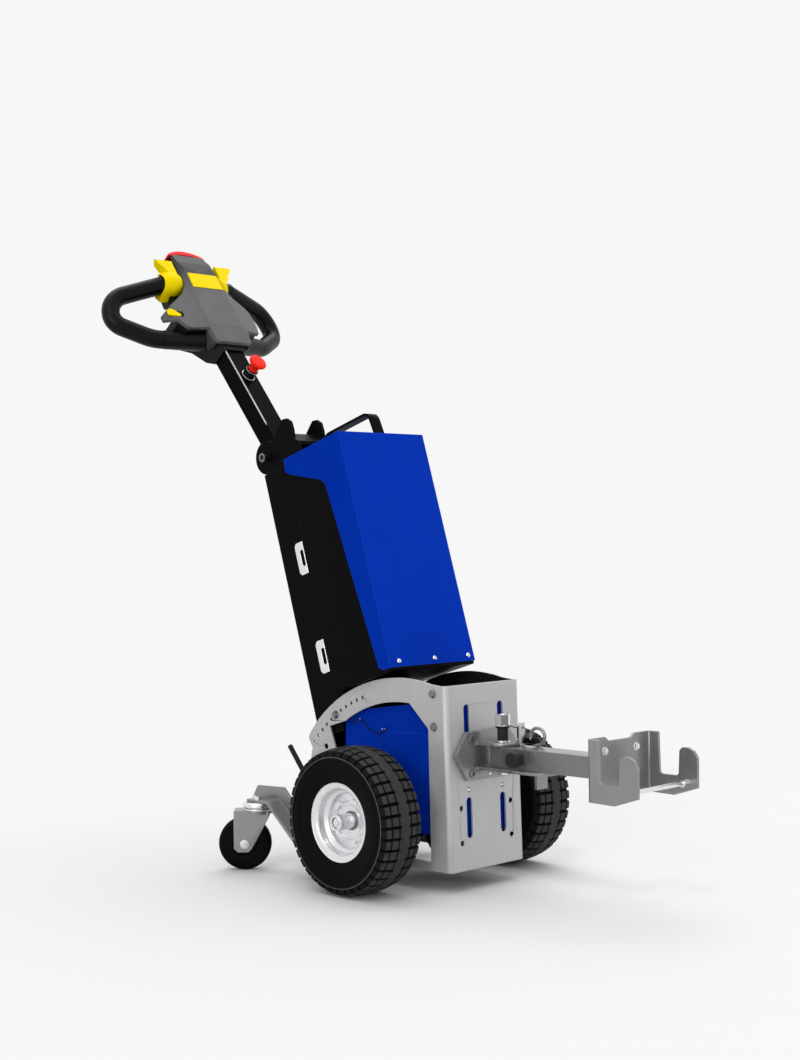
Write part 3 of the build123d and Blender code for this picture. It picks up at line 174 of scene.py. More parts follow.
def add_node(tree, kind, inputs=(), to=None, **settings):
    """Add a node, set its properties, set or link its inputs, and link it on to a socket."""
    made = tree.nodes.new("ShaderNode" + kind)
    for name, value in settings.items():
        setattr(made, name, value)
    for socket, value in dict(inputs).items():
        if isinstance(value, bpy.types.Node):
            value = live_output(value)
        if isinstance(value, bpy.types.NodeSocket):
            tree.links.new(value, made.inputs[socket])
        else:
            made.inputs[socket].default_value = value
    if to:
        tree.links.new(live_output(made), to)
    return made


def new_surface(name, metallic=0.0, specular=0.5, roughness=0.5):
    """A Principled material with constants on the shader's own sockets."""
    material = bpy.data.materials.new(name)
    material.use_nodes = True
    tree = material.node_tree
    shader = tree.nodes["Principled BSDF"]
    shader.inputs["Metallic"].default_value = metallic
    shader.inputs["Specular IOR Level"].default_value = specular
    shader.inputs["Roughness"].default_value = roughness
    return material, tree, shader


def pattern_of(tree, size_mm, stretch=(1, 1, 1), detail=3.0):
    """A cloudy pattern with features about size_mm across, longer along an axis with a smaller stretch."""
    place = add_node(tree, "TexCoord")
    scaled = add_node(tree, "Mapping", {"Vector": place.outputs["Object"], "Scale": stretch})
    return add_node(tree, "TexNoise", {"Vector": scaled, "Scale": 1 / (size_mm * MM), "Detail": detail})


def shades(colour, *factors):
    """Darker and lighter shades of a colour."""
    return [tuple(min(c * factor, 1.0) for c in colour[:3]) + (1.0,) for factor in factors]


def dress(tree, shader, pair, cloud, rough, uneven, grain=None, depth_mm=0.0):
    """Run the colour between a pair with a cloud and the roughness with a pattern, and raise the grain."""
    add_node(tree, "Mix", {0: cloud, 6: pair[0], 7: pair[1]}, to=shader.inputs["Base Color"],
             data_type="RGBA")
    add_node(tree, "MapRange", {"Value": uneven, "From Min": 0.3, "From Max": 0.7, "To Min": rough[0],
                                "To Max": rough[1]}, to=shader.inputs["Roughness"])
    if grain:
        add_node(tree, "Bump", {"Height": grain, "Strength": 1.0, "Distance": depth_mm * MM},
                 to=shader.inputs["Normal"])


def cover_over(tree, share, colour):
    """Lay another colour over the base colour where share is 1."""
    base = tree.nodes["Principled BSDF"].inputs["Base Color"]
    under = base.links[0].from_socket
    add_node(tree, "Mix", {0: share, 6: under, 7: colour}, to=base, data_type="RGBA")


def paint_edge_highlights(tree, width_mm, colour, amount):
    """Lighten the colour within a real width of each edge: a painted highlight along the edges."""
    softened = add_node(tree, "Bevel", {"Radius": width_mm * MM}, samples=6)
    plain = add_node(tree, "NewGeometry")
    same = add_node(tree, "VectorMath", {0: softened, 1: plain.outputs["Normal"]}, operation="DOT_PRODUCT")
    edge = add_node(tree, "MapRange", {"Value": same, "From Min": 0.995, "From Max": 0.88})
    cover_over(tree, add_node(tree, "Math", {0: edge, 1: amount}, operation="MULTIPLY"), colour)


def powder_coat(name, colour, roughness, specular, edge):
    """Powder coated steel, baked: an even colour with a faint orange peel that breaks up highlights."""
    material, tree, shader = new_surface(name, specular=specular)
    cloud = pattern_of(tree, 60)
    peel = pattern_of(tree, 2.2)
    dress(tree, shader, shades(colour, 0.9, 1.08), cloud, (roughness - 0.04, roughness + 0.05), cloud,
          peel, 0.04)
    # Painted highlight along the edges, in the edge colour
    paint_edge_highlights(tree, 1.8, edge, 0.8)
    return material


def plated_sheet(name, colour, roughness, mottle_mm, contrast, metallic):
    """Zinc plated steel, rolled: a soft cloudy grey with faint upright rolling marks and painted highlights
    along the edges.

    Real rolling marks are about 0.5 mm apart, too fine to show, so they are drawn 3 mm apart.
    """
    material, tree, shader = new_surface(name, metallic=metallic)
    cloud = pattern_of(tree, mottle_mm, stretch=(1, 1, 0.45), detail=5)
    rolling = pattern_of(tree, 3.0, stretch=(1, 1, 0.04), detail=2)
    both = add_node(tree, "Math", {0: cloud, 1: rolling}, operation="ADD")
    half = add_node(tree, "Math", {0: both, 1: 0.5}, operation="MULTIPLY")
    dress(tree, shader, shades(colour, 1 - contrast, 1 + contrast), half,
          (roughness - 0.06, roughness + 0.08), cloud, rolling, 0.012)
    # Painted highlight along the edges, paler than the sheet
    paint_edge_highlights(tree, 1.6, *shades(colour, 1.6), 0.75)
    return material


def frame_sheet_shaded_inside(name, colour, roughness, mottle_mm, contrast, metallic):
    """Galvanised sheet with painted shade on the faces that look inwards, so its openings look dark inside.
    """
    material = plated_sheet(name, colour, roughness, mottle_mm, contrast, metallic)
    tree = material.node_tree
    # Painted shade: the faces that look inwards take a near black colour
    skin = add_node(tree, "NewGeometry")
    spot = add_node(tree, "SeparateXYZ", {0: skin.outputs["Position"]})
    facing = add_node(tree, "SeparateXYZ", {0: skin.outputs["Normal"]})
    outwards = add_node(tree, "Math", {0: spot.outputs["Y"], 1: facing.outputs["Y"]}, operation="MULTIPLY")
    inwards = add_node(tree, "MapRange", {"Value": outwards, "From Min": -0.05, "From Max": -0.06})
    cover_over(tree, inwards, PAINTED_SHADE)
    return material


def motor_cover_shaded_top(name, colour, roughness, specular, edge):
    """Powder coated steel with painted shade on its level top, which only shows inside the frame."""
    material = powder_coat(name, colour, roughness, specular, edge)
    tree = material.node_tree
    # Painted shade: the level top takes a near black colour
    facing = add_node(tree, "SeparateXYZ", {0: add_node(tree, "NewGeometry").outputs["Normal"]})
    level = add_node(tree, "MapRange", {"Value": facing.outputs["Z"], "From Min": 0.8, "From Max": 0.85})
    cover_over(tree, level, PAINTED_SHADE)
    return material


def bright_metal(name, colour, roughness, metallic=1.0):
    """Turned and bright plated steel: clean highlights with a little cloudiness from handling."""
    material, tree, shader = new_surface(name, metallic=metallic)
    cloud = pattern_of(tree, 24, detail=2)
    dress(tree, shader, shades(colour, 0.94, 1.04), cloud, (roughness - 0.02, roughness + 0.03), cloud)
    return material


def moulded_plastic(name, colour, roughness, grain_mm, depth_mm, specular):
    """Injection moulded plastic: a fine spark texture that spreads the highlights.

    The real texture is about 0.3 mm across, too fine to show, so it is drawn at grain_mm.
    """
    material, tree, shader = new_surface(name, specular=specular)
    cloud = pattern_of(tree, 45)
    grain = pattern_of(tree, grain_mm, detail=2)
    dress(tree, shader, shades(colour, 0.94, 1.06), cloud, (roughness - 0.05, roughness + 0.05), grain,
          grain, depth_mm)
    return material


def soft_rubber(name, colour, roughness, specular):
    """Moulded rubber: matt black with a pebbled skin that only shows near highlights.

    The real pebbles are about 0.5 mm across, too fine to show, so they are drawn 1.6 mm across.
    """
    material, tree, shader = new_surface(name, specular=specular)
    cloud = pattern_of(tree, 35)
    skin = pattern_of(tree, 1.6, detail=2)
    dress(tree, shader, shades(colour, 0.8, 1.25), cloud, (roughness - 0.06, roughness + 0.06), skin,
          skin, 0.05)
    return material


def tyre_rubber(name):
    """Vulcanised tyre rubber: the block faces are dusty and paler than the walls and grooves.

    Real grit is finer than 0.5 mm, too fine to show, so it is drawn 1.4 mm across.
    """
    material, tree, shader = new_surface(name, specular=0.05)
    worn = add_node(tree, "Attribute", attribute_name="worn")
    grit = pattern_of(tree, 1.4, detail=4)
    dust = pattern_of(tree, 20)
    faded = add_node(tree, "MapRange", {"Value": dust, "From Min": 0.3, "From Max": 0.7, "To Min": 0.75,
                                        "To Max": 1.0})
    amount = add_node(tree, "Math", {0: worn.outputs["Fac"], 1: faded}, operation="MULTIPLY")
    dress(tree, shader, (colours().rubber, colours().tread), amount, (0.55, 0.75), grit, grit, 0.12)
    return material


def hinge_reach(tree, direction):
    """How far a spot of the tiller lies from its hinge along a direction, whatever the tiller's angle."""
    place = add_node(tree, "TexCoord")
    hinge = Vector(((AXLE_X + HINGE[0]) * MM, 0, HINGE[1] * MM))
    away = add_node(tree, "VectorMath", {0: place.outputs["Object"], 1: hinge}, operation="SUBTRACT")
    return add_node(tree, "VectorMath", {0: away, 1: direction}, operation="DOT_PRODUCT")


def edge_highlight_paint(name, colour):
    """Satin paint on square tube, with a painted highlight along the tube's front edge on the right."""
    material, tree, shader = new_surface(name, specular=0.02, roughness=0.32)
    # Painted highlight: a patchy pale band along the tube's right front edge
    limits = [(hinge_reach(tree, TILLER_OFF), 25.4 - 2.6, 25.4 - 1.2),
              (hinge_reach(tree, (0, -1, 0)), 23.4 - 2.6, 23.4 - 1.2),
              (hinge_reach(tree, TILLER_ALONG), 66, 74)]
    patchy = add_node(tree, "MapRange", {"Value": pattern_of(tree, 9), "From Min": 0.3, "From Max": 0.6,
                                         "To Min": 0.75, "To Max": 1.0})
    amount = patchy
    for reach, low, high in limits:
        within = add_node(tree, "MapRange", {"Value": reach, "From Min": low * MM, "From Max": high * MM})
        amount = add_node(tree, "Math", {0: amount, 1: within}, operation="MULTIPLY")
    add_node(tree, "Mix", {0: amount, 6: colour, 7: hex_colour("#E6E6E6")}, to=shader.inputs["Base Color"],
             data_type="RGBA")
    return material


def head_plastic(name, colour):
    """Injection moulded ABS: smeared paler by hands, with painted shade towards the crown and on the skirt by
    the arm.

    The real grain is about 0.3 mm across, too fine to show, so it is drawn 0.9 mm across.
    """
    material, tree, shader = new_surface(name, specular=0.1, roughness=0.42)
    along = hinge_reach(tree, TILLER_ALONG)
    off = hinge_reach(tree, TILLER_OFF)
    # Painted shade: darker towards the crown and on the skirt by the arm
    crown, low, near_arm = (
        add_node(tree, "MapRange", {"Value": reach, "From Min": start * MM, "From Max": stop * MM})
        for reach, start, stop in ((along, 430, 490), (off, 33, 29), (along, 334, 326)))
    skirt = add_node(tree, "Math", {0: low, 1: near_arm}, operation="MULTIPLY")
    dark = add_node(tree, "Math", {0: crown, 1: skirt}, operation="ADD", use_clamp=True)
    smear = add_node(tree, "MapRange", {"Value": pattern_of(tree, 40, detail=4), "From Min": 0.35,
                                        "From Max": 0.7, "To Max": 0.35})
    darker, lighter = shades(colour, 0.45, 1.5)
    smeared = add_node(tree, "Mix", {0: smear, 6: colour, 7: lighter}, data_type="RGBA")
    add_node(tree, "Mix", {0: dark, 6: smeared, 7: darker}, to=shader.inputs["Base Color"],
             data_type="RGBA")
    grain = pattern_of(tree, 0.9, detail=2)
    add_node(tree, "Bump", {"Height": grain, "Strength": 1.0, "Distance": 0.03 * MM},
             to=shader.inputs["Normal"])
    return material


# Near black of the painted shade inside the frame and on the motor cover's top
PAINTED_SHADE = hex_colour("#141415")


def finishes():
    """Each slot's finish: its maker, the real material and how its surface was made, and its measures."""
    c = colours()
    # Paler blue of the painted highlight along the blue edges
    blue_edge_highlight = hex_colour("#2B57D8")
    return {
        # Dipped in zinc: pale grey, half matt, cloudy with crystals that have run together
        "zinc_sheet": (plated_sheet, "galvanised steel sheet", c.zinc, 0.5, 26, 0.16, 0.45),
        # The same, a little darker, with painted shade on the faces that look inwards
        "frame_sheet_shaded_inside": (frame_sheet_shaded_inside, "galvanised steel sheet, black inside", hex_colour("#BCBCBD"), 0.5, 26,
                        0.16, 0.45),
        # Drawn, then plated: glossier than dipped sheet, and darker as painted shade
        "zinc_bar": (plated_sheet, "zinc plated drawn steel", hex_colour("#7E7E80"), 0.24, 40, 0.2, 0.6),
        # Thick cut plate: patchy plating, darker as painted shade, with a painted highlight along the edges
        "zinc_plate": (plated_sheet, "zinc plated steel plate", hex_colour("#8E8E90"), 0.26, 34, 0.26, 0.65),
        # Pressed thin, so its plating is even; darker as painted shade
        "zinc_castor": (plated_sheet, "zinc plated pressed steel", hex_colour("#8E8E8F"), 0.34, 30, 0.1, 0.7),
        # New fasteners: almost mirror bright
        "zinc_bright": (bright_metal, "bright zinc plated steel", c.bright, 0.16),
        # Unplated turned parts: grey with soft highlights
        "axle_steel": (bright_metal, "turned bare steel", hex_colour("#7C7D80"), 0.3),
        # Spun and plated: bright, with broad soft highlights round the well
        "rim_steel": (bright_metal, "zinc plated spun steel", c.bright, 0.26, 0.75),
        # Deep even blue with a painted highlight of paler blue along the edges
        "blue_powder": (powder_coat, "powder coated steel, blue", c.cover, 0.4, 0.02, blue_edge_highlight),
        # The same blue, with painted shade on its level top
        "motor_cover_shaded_top": (motor_cover_shaded_top, "powder coated steel, blue, black on top", c.cover, 0.4, 0.02,
                             blue_edge_highlight),
        # Deep black with a painted highlight of dark grey along the edges
        "black_powder": (powder_coat, "powder coated steel, black", c.coat, 0.36, 0.03,
                         hex_colour("#303031")),
        # Smoother black with a low sheen and a painted dark grey highlight along the edges
        "black_satin": (powder_coat, "satin painted steel, black", c.coat, 0.3, 0.08, hex_colour("#2A2A2B")),
        # Black with one painted highlight line along an edge
        "arm_paint": (edge_highlight_paint, "satin painted steel, edge rubbed bright", c.coat),
        # Black with a soft sheen
        "black_plastic": (moulded_plastic, "moulded nylon, black", c.coat, 0.38, 1.2, 0.03, 0.18),
        # Dark grey and dull
        "dark_plastic": (moulded_plastic, "moulded nylon, dark grey", hex_colour("#2C2C2D"), 0.5, 1.2, 0.03,
                         0.1),
        # Mid grey, matt, a little smeared, with painted shade at the crown and on the skirt
        "grey_plastic": (head_plastic, "moulded ABS, grey", c.head),
        # Clear signal colours with a dull sheen
        "yellow_plastic": (moulded_plastic, "moulded ABS, yellow", c.paddle, 0.42, 1.4, 0.02, 0.04),
        "red_plastic": (moulded_plastic, "moulded ABS, red", c.stop, 0.3, 1.6, 0.015, 0.08),
        # Black, with long soft highlights along the tube
        "grip_rubber": (soft_rubber, "moulded soft PVC, black", hex_colour("#060607"), 0.36, 0.14),
        # Black walls and grooves, dusty grey block faces
        "tyre_rubber": (tyre_rubber, "vulcanised tyre rubber"),
        # The rib round the wall, a paler grey
        "ring_rubber": (soft_rubber, "vulcanised tyre rubber, dusty rib", hex_colour("#5C5C5C"), 0.6, 0.1),
        # Solid black tread that stays clean
        "castor_rubber": (soft_rubber, "moulded solid rubber, black", hex_colour("#070708"), 0.4, 0.05),
    }


# Finishes that share a material slot of the record with a plainer one
made_finishes = {}


def finish_for(slot):
    """The material of a slot, made once."""
    if slot not in made_finishes:
        maker, *details = finishes()[slot]
        made_finishes[slot] = maker(*details)
    return made_finishes[slot]


# Shapes: lists of points and faces in millimetres
def plane_at(origin, x_dir, z_dir):
    """Placement with a given x and z direction, from working places to the frame."""
    z = Vector(z_dir).normalized()
    x = Vector(x_dir)
    x = (x - z * x.dot(z)).normalized()
    y = z.cross(x)
    at = Vector(origin) + Vector((AXLE_X, 0, 0))
    return Matrix(((x.x, y.x, z.x, at.x), (x.y, y.y, z.y, at.y), (x.z, y.z, z.z, at.z), (0, 0, 0, 1)))


def placed(shape, matrix):
    """A shape moved by a placement."""
    points, faces = shape
    return [matrix @ Vector(p) for p in points], faces


def lifted(shape, height):
    """A shape moved up its local z axis."""
    return placed(shape, Matrix.Translation((0, 0, height)))


def joined(shapes):
    """Several shapes as one."""
    points, faces = [], []
    for some, their_faces in shapes:
        start = len(points)
        points += [Vector(p) for p in some]
        faces += [tuple(i + start for i in face) for face in their_faces]
    return points, faces


def rounded(outline, radius, steps=4, closed=True):
    """An outline with each corner cut to a smooth curve."""
    made = []
    count = len(outline)
    for i, corner in enumerate(outline):
        corner = Vector(corner)
        if not closed and i in (0, count - 1):
            made.append(corner)
            continue
        before = Vector(outline[i - 1]) - corner
        after = Vector(outline[(i + 1) % count]) - corner
        reach = min(radius, before.length * 0.48, after.length * 0.48)
        start = corner + before.normalized() * reach
        end = corner + after.normalized() * reach
        for k in range(steps + 1):
            t = k / steps
            made.append(start * (1 - t) ** 2 + corner * (2 * t * (1 - t)) + end * t ** 2)
    return made


def raised(outline, push):
    """A flat outline anywhere in space, raised by a push."""
    count = len(outline)
    push = Vector(push)
    points = [Vector(p) for p in outline] + [Vector(p) + push for p in outline]
    faces = [tuple(reversed(range(count))), tuple(range(count, 2 * count))]
    faces += [(i, (i + 1) % count, count + (i + 1) % count, count + i) for i in range(count)]
    return points, faces


def turned(section, steps=48, closed=False):
    """A section of (radius, height) turned about the local z axis."""
    points, faces, rings = [], [], []
    for radius, height in section:
        if radius < 1e-6:
            rings.append([len(points)] * steps)
            points.append(Vector((0, 0, height)))
            continue
        rings.append(list(range(len(points), len(points) + steps)))
        for k in range(steps):
            turn = 2 * pi * k / steps
            points.append(Vector((radius * cos(turn), radius * sin(turn), height)))
    pairs = list(zip(rings, rings[1:]))
    if closed:
        pairs.append((rings[-1], rings[0]))
    for low, high in pairs:
        for k in range(steps):
            n = (k + 1) % steps
            face = []
            for index in (low[k], low[n], high[n], high[k]):
                if index not in face:
                    face.append(index)
            if len(face) > 2:
                faces.append(tuple(face))
    return points, faces


def slab(outline, low, high):
    """A flat outline raised from low to high along the local z axis."""
    return raised([(p[0], p[1], low) for p in outline], (0, 0, high - low))


def polygon(radius, corners):
    """Corners of a regular polygon about the origin."""
    return [(radius * cos(2 * pi * k / corners), radius * sin(2 * pi * k / corners)) for k in range(corners)]


def rod(path, radius, steps=12):
    """A round rod along a list of points."""
    spots = [Vector(p) for p in path]
    points, faces = [], []
    side = None
    for i, spot in enumerate(spots):
        heading = (spots[min(i + 1, len(spots) - 1)] - spots[max(i - 1, 0)]).normalized()
        if side is None:
            side = heading.orthogonal().normalized()
        side = (side - heading * side.dot(heading)).normalized()
        other = heading.cross(side)
        for k in range(steps):
            turn = 2 * pi * k / steps
            points.append(spot + (side * cos(turn) + other * sin(turn)) * radius)
    for i in range(len(spots) - 1):
        for k in range(steps):
            n = (k + 1) % steps
            faces.append((i * steps + k, i * steps + n, (i + 1) * steps + n, (i + 1) * steps + k))
    faces.append(tuple(reversed(range(steps))))
    faces.append(tuple(range((len(spots) - 1) * steps, len(spots) * steps)))
    return points, faces


def ring(radius, thickness, steps=40, section_steps=10):
    """A round ring about the local z axis."""
    section = [(radius + across, up) for across, up in polygon(thickness, section_steps)]
    return turned(section, steps, closed=True)


def mesh_of(name, shape):
    """A mesh from a shape."""
    points, faces = shape
    mesh = bpy.data.meshes.new(name)
    mesh.from_pydata([tuple(Vector(p) * MM) for p in points], [], faces)
    return mesh


def add_object(name, data):
    """A new object in the scene."""
    made = bpy.data.objects.new(name, data)
    bpy.context.scene.collection.objects.link(made)
    return made


def piece(name, shape, place, slot, body, replaces=(), edge=0.0, angle=35.0):
    """A mesh piece from a shape put in its place, with its finish, riding on a body."""
    mesh = mesh_of(name, placed(shape, place))
    work = bmesh.new()
    work.from_mesh(mesh)
    bmesh.ops.remove_doubles(work, verts=work.verts, dist=1e-7)
    bmesh.ops.recalc_face_normals(work, faces=work.faces)
    work.to_mesh(mesh)
    work.free()
    made = add_object(name, mesh)
    mesh.polygons.foreach_set("use_smooth", [True] * len(mesh.polygons))
    mesh.set_sharp_from_angle(angle=radians(angle))
    if edge:
        bevel = made.modifiers.new("rounded edges", "BEVEL")
        bevel.width = edge * MM
        bevel.segments = 2
        bevel.limit_method = "ANGLE"
        bevel.angle_limit = radians(angle)
        bevel.harden_normals = True
    mesh.materials.append(finish_for(slot))
    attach(made, body)
    if replaces:
        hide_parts(*replaces)
    return made


def cut(target, shapes):
    """Cut openings out of a piece and keep the result as its mesh."""
    cutter = add_object("cutter", mesh_of("cutter", joined(shapes)))
    boolean = target.modifiers.new("openings", "BOOLEAN")
    boolean.operation = "DIFFERENCE"
    boolean.solver = "EXACT"
    boolean.object = cutter
    bpy.context.view_layer.update()
    made = bpy.data.meshes.new_from_object(target.evaluated_get(bpy.context.evaluated_depsgraph_get()))
    target.modifiers.remove(boolean)
    target.data = made
    bpy.data.objects.remove(cutter)


def lean_place(ahead, across, up):
    """Working place of a point given along the leaning column."""
    turn = radians(COLUMN_LEAN)
    return (COLUMN_FOOT[0] + ahead * cos(turn) - up * sin(turn), across,
            COLUMN_FOOT[1] + ahead * sin(turn) + up * cos(turn))


def tiller_place(along, off, across):
    """Working place of a point given along the tiller, off its hinge line and across."""
    turn = radians(TILLER_LEAN)
    return (HINGE[0] - along * sin(turn) + off * cos(turn), across,
            HINGE[1] + along * cos(turn) + off * sin(turn))


def face_place(across, up, ahead):
    """Working place of a point some way ahead of the leaning front face."""
    return (FACE_AT[0] - (up - FACE_AT[1]) * tan(radians(FRAME_LEAN)) + ahead, across, up)


FORWARD = (cos(radians(COLUMN_LEAN)), 0, sin(radians(COLUMN_LEAN)))
FACE_NORMAL = (cos(radians(FRAME_LEAN)), 0, sin(radians(FRAME_LEAN)))
TILLER_ALONG = (-sin(radians(TILLER_LEAN)), 0, cos(radians(TILLER_LEAN)))
TILLER_OFF = (cos(radians(TILLER_LEAN)), 0, sin(radians(TILLER_LEAN)))


# Fasteners, standing on the local xy plane
def button_head(radius, height):
    """Domed socket screw with its washer face and hexagon recess."""
    recess = [(0, height * 0.45), (radius * 0.38, height * 0.45), (radius * 0.4, height * 0.96)]
    dome = rounded([(radius * 0.42, height), (radius * 0.72, height), (radius, height * 0.35), (radius, 0)],
                   radius * 0.3, closed=False)
    return turned(recess + dome + [(0, 0)], 30)


def socket_cap(radius, height):
    """Cylinder head screw with a hexagon recess and a chamfered rim."""
    section = [(0, height * 0.5), (radius * 0.5, height * 0.5), (radius * 0.52, height),
               (radius * 0.86, height), (radius, height - radius * 0.14), (radius, 0), (0, 0)]
    return turned(section, 30)


def washer(outer, height):
    """Flat washer with a broken edge."""
    return turned([(0, height), (outer * 0.96, height), (outer, height * 0.7), (outer, 0), (0, 0)], 36)


def hex_nut(flats, height, bore=0.0):
    """Hexagon nut with its corners turned down, and the screw's end in it."""
    corner = flats / 2 / cos(radians(30))
    levels = ((corner, 0), (corner, height * 0.82), (flats / 2 * 0.96, height))
    points = [Vector((x, y, up)) for radius, up in levels for x, y in polygon(radius, 6)]
    faces = [tuple(reversed(range(6))), tuple(range(12, 18))]
    for level in (0, 6):
        faces += [(level + k, level + (k + 1) % 6, level + 6 + (k + 1) % 6, level + 6 + k) for k in range(6)]
    shapes = [(points, faces)]
    if bore:
        shapes.append(turned([(0, 0), (bore, 0), (bore, height * 1.25), (bore * 0.8, height * 1.4),
                              (0, height * 1.4)], 20))
    return joined(shapes)


def seated_nut(outer, flats, height, bore):
    """A nut on its washer."""
    return joined([washer(outer, 1.2), lifted(hex_nut(flats, height, bore), 1.1)])


# Groups of pieces
CASTOR_SHEET = ("castor_beam", "castor_arm_right", "castor_arm_left", "castor_fork_right", "castor_fork_left")
OWN_FINISH = {"tow_bar": "zinc_bar", "fork_bracket": "zinc_plate", "hitch_flange": "zinc_plate",
              "hitch_pin": "zinc_bright", "hinge_pin": "axle_steel", "side_screws": "axle_steel",
              "index_bolts": "axle_steel", "frame_plate": "frame_sheet_shaded_inside", "motor_cover": "motor_cover_shaded_top",
              "tiller_arm": "arm_paint", **dict.fromkeys(CASTOR_SHEET, "zinc_castor")}
SHEET_EDGES = CASTOR_SHEET + ("frame_plate", "hitch_flange", "tow_bar", "fork_bracket", "column",
                              "tiller_bracket", "tiller_arm", "keeper_plates", "motor_cover", "box_cover",
                              "carry_handle")
MOULDED_EDGES = ("battery_case", "transaxle", "key_switch", "charge_socket", "release_lever")


def soften(node, width, segments):
    """Round a CAD piece's cut edges with modifiers, its mesh unchanged."""
    weld = node.modifiers.new("weld", "WELD")
    weld.merge_threshold = 1e-6
    bevel = node.modifiers.new("rounded edges", "BEVEL")
    bevel.width = width
    bevel.segments = segments
    bevel.limit_method = "ANGLE"
    bevel.angle_limit = radians(40)
    bevel.use_clamp_overlap = True
    bevel.harden_normals = True


class TUG_OT_finishes(bpy.types.Operator):
    """Give every CAD piece its finish, and the sheet and moulded pieces rounded edges"""
    bl_idname = "tug.finishes"
    bl_label = "CAD finishes"

    def execute(self, context):
        slots = {part["node"]: part["material_slot"] for part in frame["record"]["subparts"]}
        for name, node in frame["nodes"].items():
            if not node.data.materials:
                node.data.materials.append(None)
            node.material_slots[0].link = "OBJECT"
            for held in node.material_slots:
                held.link = "OBJECT"
                held.material = finish_for(OWN_FINISH.get(name, slots[name]))
        for name in SHEET_EDGES:
            soften(frame["nodes"][name], sizes().edge, 2)
        for name in MOULDED_EDGES:
            soften(frame["nodes"][name], sizes().soft_edge, 3)
        return {"FINISHED"}


def tyre_outline():
    """Half of the tyre's outer surface: (half width, radius) from the bead up to the middle of the tread."""
    top = TYRE_R - 0.05
    half = TYRE_HALF - 0.1
    wall = [(37.0, RIM_R - 1.0), (38.6, RIM_R + 3), (41.0, RIM_R + 10), (43.2, RIM_R + 19),
            (44.9, RIM_R + 29), (45.3, 99.0), (45.7, 99.5), (45.7, 100.3), (45.4, 100.8), (45.4, RIM_R + 37),
            (half - 0.4, 112.4), (half, 113.2), (half - 0.3, 114.4)]
    shoulder = [(45.1, 115.6), (44.2, 119.4), (42.9, 122.6), (41.6, 124.7), (40.6, 125.4), (36.0, 126.4)]
    tread = [(31.4, 127.4), (30.0, 127.7), (28.6, 128.0), (24.0, 128.7), (19.0, 129.2), (15.4, 129.5),
             (13.9, 129.6), (12.4, 129.7), (8.4, 129.85), (4.0, top), (0.0, top)]
    return wall, shoulder, tread


def tread_groove(across, in_slot):
    """1 where the tread is cut away, 0 on a block's face."""
    reach = sizes().groove / MM / 2
    in_groove = any(abs(abs(across) - middle) <= reach + 0.05 for middle in TREAD_GROOVES)
    return 1.0 if in_groove or (in_slot and 8.9 <= abs(across) <= 45.9) else 0.0


def tyre_shape():
    """The dressed tyre: walls, shoulder lugs and grooved tread about the local z axis."""
    wall, shoulder, tread = tyre_outline()
    reach = sizes().groove / MM / 2
    depth = sizes().tread_depth / MM
    blocks = sizes().tread_blocks
    lines = [(across, radius, False) for across, radius in wall]
    lines += [(across, radius, True) for across, radius in shoulder + [(9.3, 129.8), (8.9, 129.8)]]
    for middle in TREAD_GROOVES:
        for edge in (middle + reach + 0.4, middle + reach, middle - reach, middle - reach - 0.4):
            near = min(tread, key=lambda p: abs(p[0] - edge))
            lines.append((edge, near[1], True))
    for across, radius in tread:
        if all(abs(across - middle) > reach + 0.5 for middle in TREAD_GROOVES):
            lines.append((across, radius, True))
    lines = sorted(set(lines), key=lambda p: (p[2], -p[0]) if p[2] else (p[2], p[1]))
    whole = lines + [(-across, radius, soft) for across, radius, soft in reversed(lines) if across > 0]
    whole += [(-33.0, RIM_R - 2.0, False), (33.0, RIM_R - 2.0, False)]
    shares = (0.0, 0.02, 0.15, 0.28, SLOT_SHARE, 0.52, 0.76, 0.98)
    points, worn = [], []
    for block in range(blocks):
        for share in shares:
            turn = 2 * pi * (block + share) / blocks
            for across, radius, cuttable in whole:
                sunk = tread_groove(across, 0.0 < share < SLOT_SHARE) if cuttable else 0.0
                side_cut = abs(across) > 43.0
                r = radius - sunk * depth * (0.7 if side_cut else 1.0)
                points.append(Vector((r * cos(turn), r * sin(turn), across * (1 - 0.006 * sunk * side_cut))))
                # Dust thick on the tread's faces and thin on the shoulder lugs; the wall's ridge a paler grey
                if cuttable and sunk == 0.0:
                    worn.append(1.0 if abs(across) < 40.8 else 0.16)
                else:
                    worn.append(0.7 if 112.9 < radius < 114.0 else 0.0)
    count = len(whole)
    turns = blocks * len(shares)
    faces = []
    for t in range(turns):
        n = (t + 1) % turns
        for k in range(count):
            m = (k + 1) % count
            faces.append((t * count + k, n * count + k, n * count + m, t * count + m))
    return points, faces, worn


def wheel_axis(side):
    """Placement whose z axis runs outwards from the middle of a wheel's tyre."""
    return plane_at((0, side * TRACK_HALF, AXLE_Z), (1, 0, 0), (0, side, 0))


class TUG_OT_tyres(bpy.types.Operator):
    """Build the two tyres with their block tread"""
    bl_idname = "tug.tyres"
    bl_label = "Tyres"

    def execute(self, context):
        for side, word in SIDES:
            points, faces, worn = tyre_shape()
            axis = wheel_axis(side)
            made = piece(f"tread_tyre_{word}", (points, faces), axis, "tyre_rubber", f"wheel_{word}",
                         replaces=(f"tyre_{word}",), angle=28)
            layer = made.data.attributes.new("worn", "FLOAT", "POINT")
            if len(worn) != len(made.data.vertices):
                raise RuntimeError("the tyre lost points")
            layer.data.foreach_set("value", worn)
            lug_ring = [(113.4, 45.35), (113.7, 45.75), (114.5, 45.75), (114.8, 45.35)]
            piece(f"tyre_ring_{word}", turned(lug_ring, 120, closed=True), axis, "ring_rubber",
                  f"wheel_{word}")
        return {"FINISHED"}


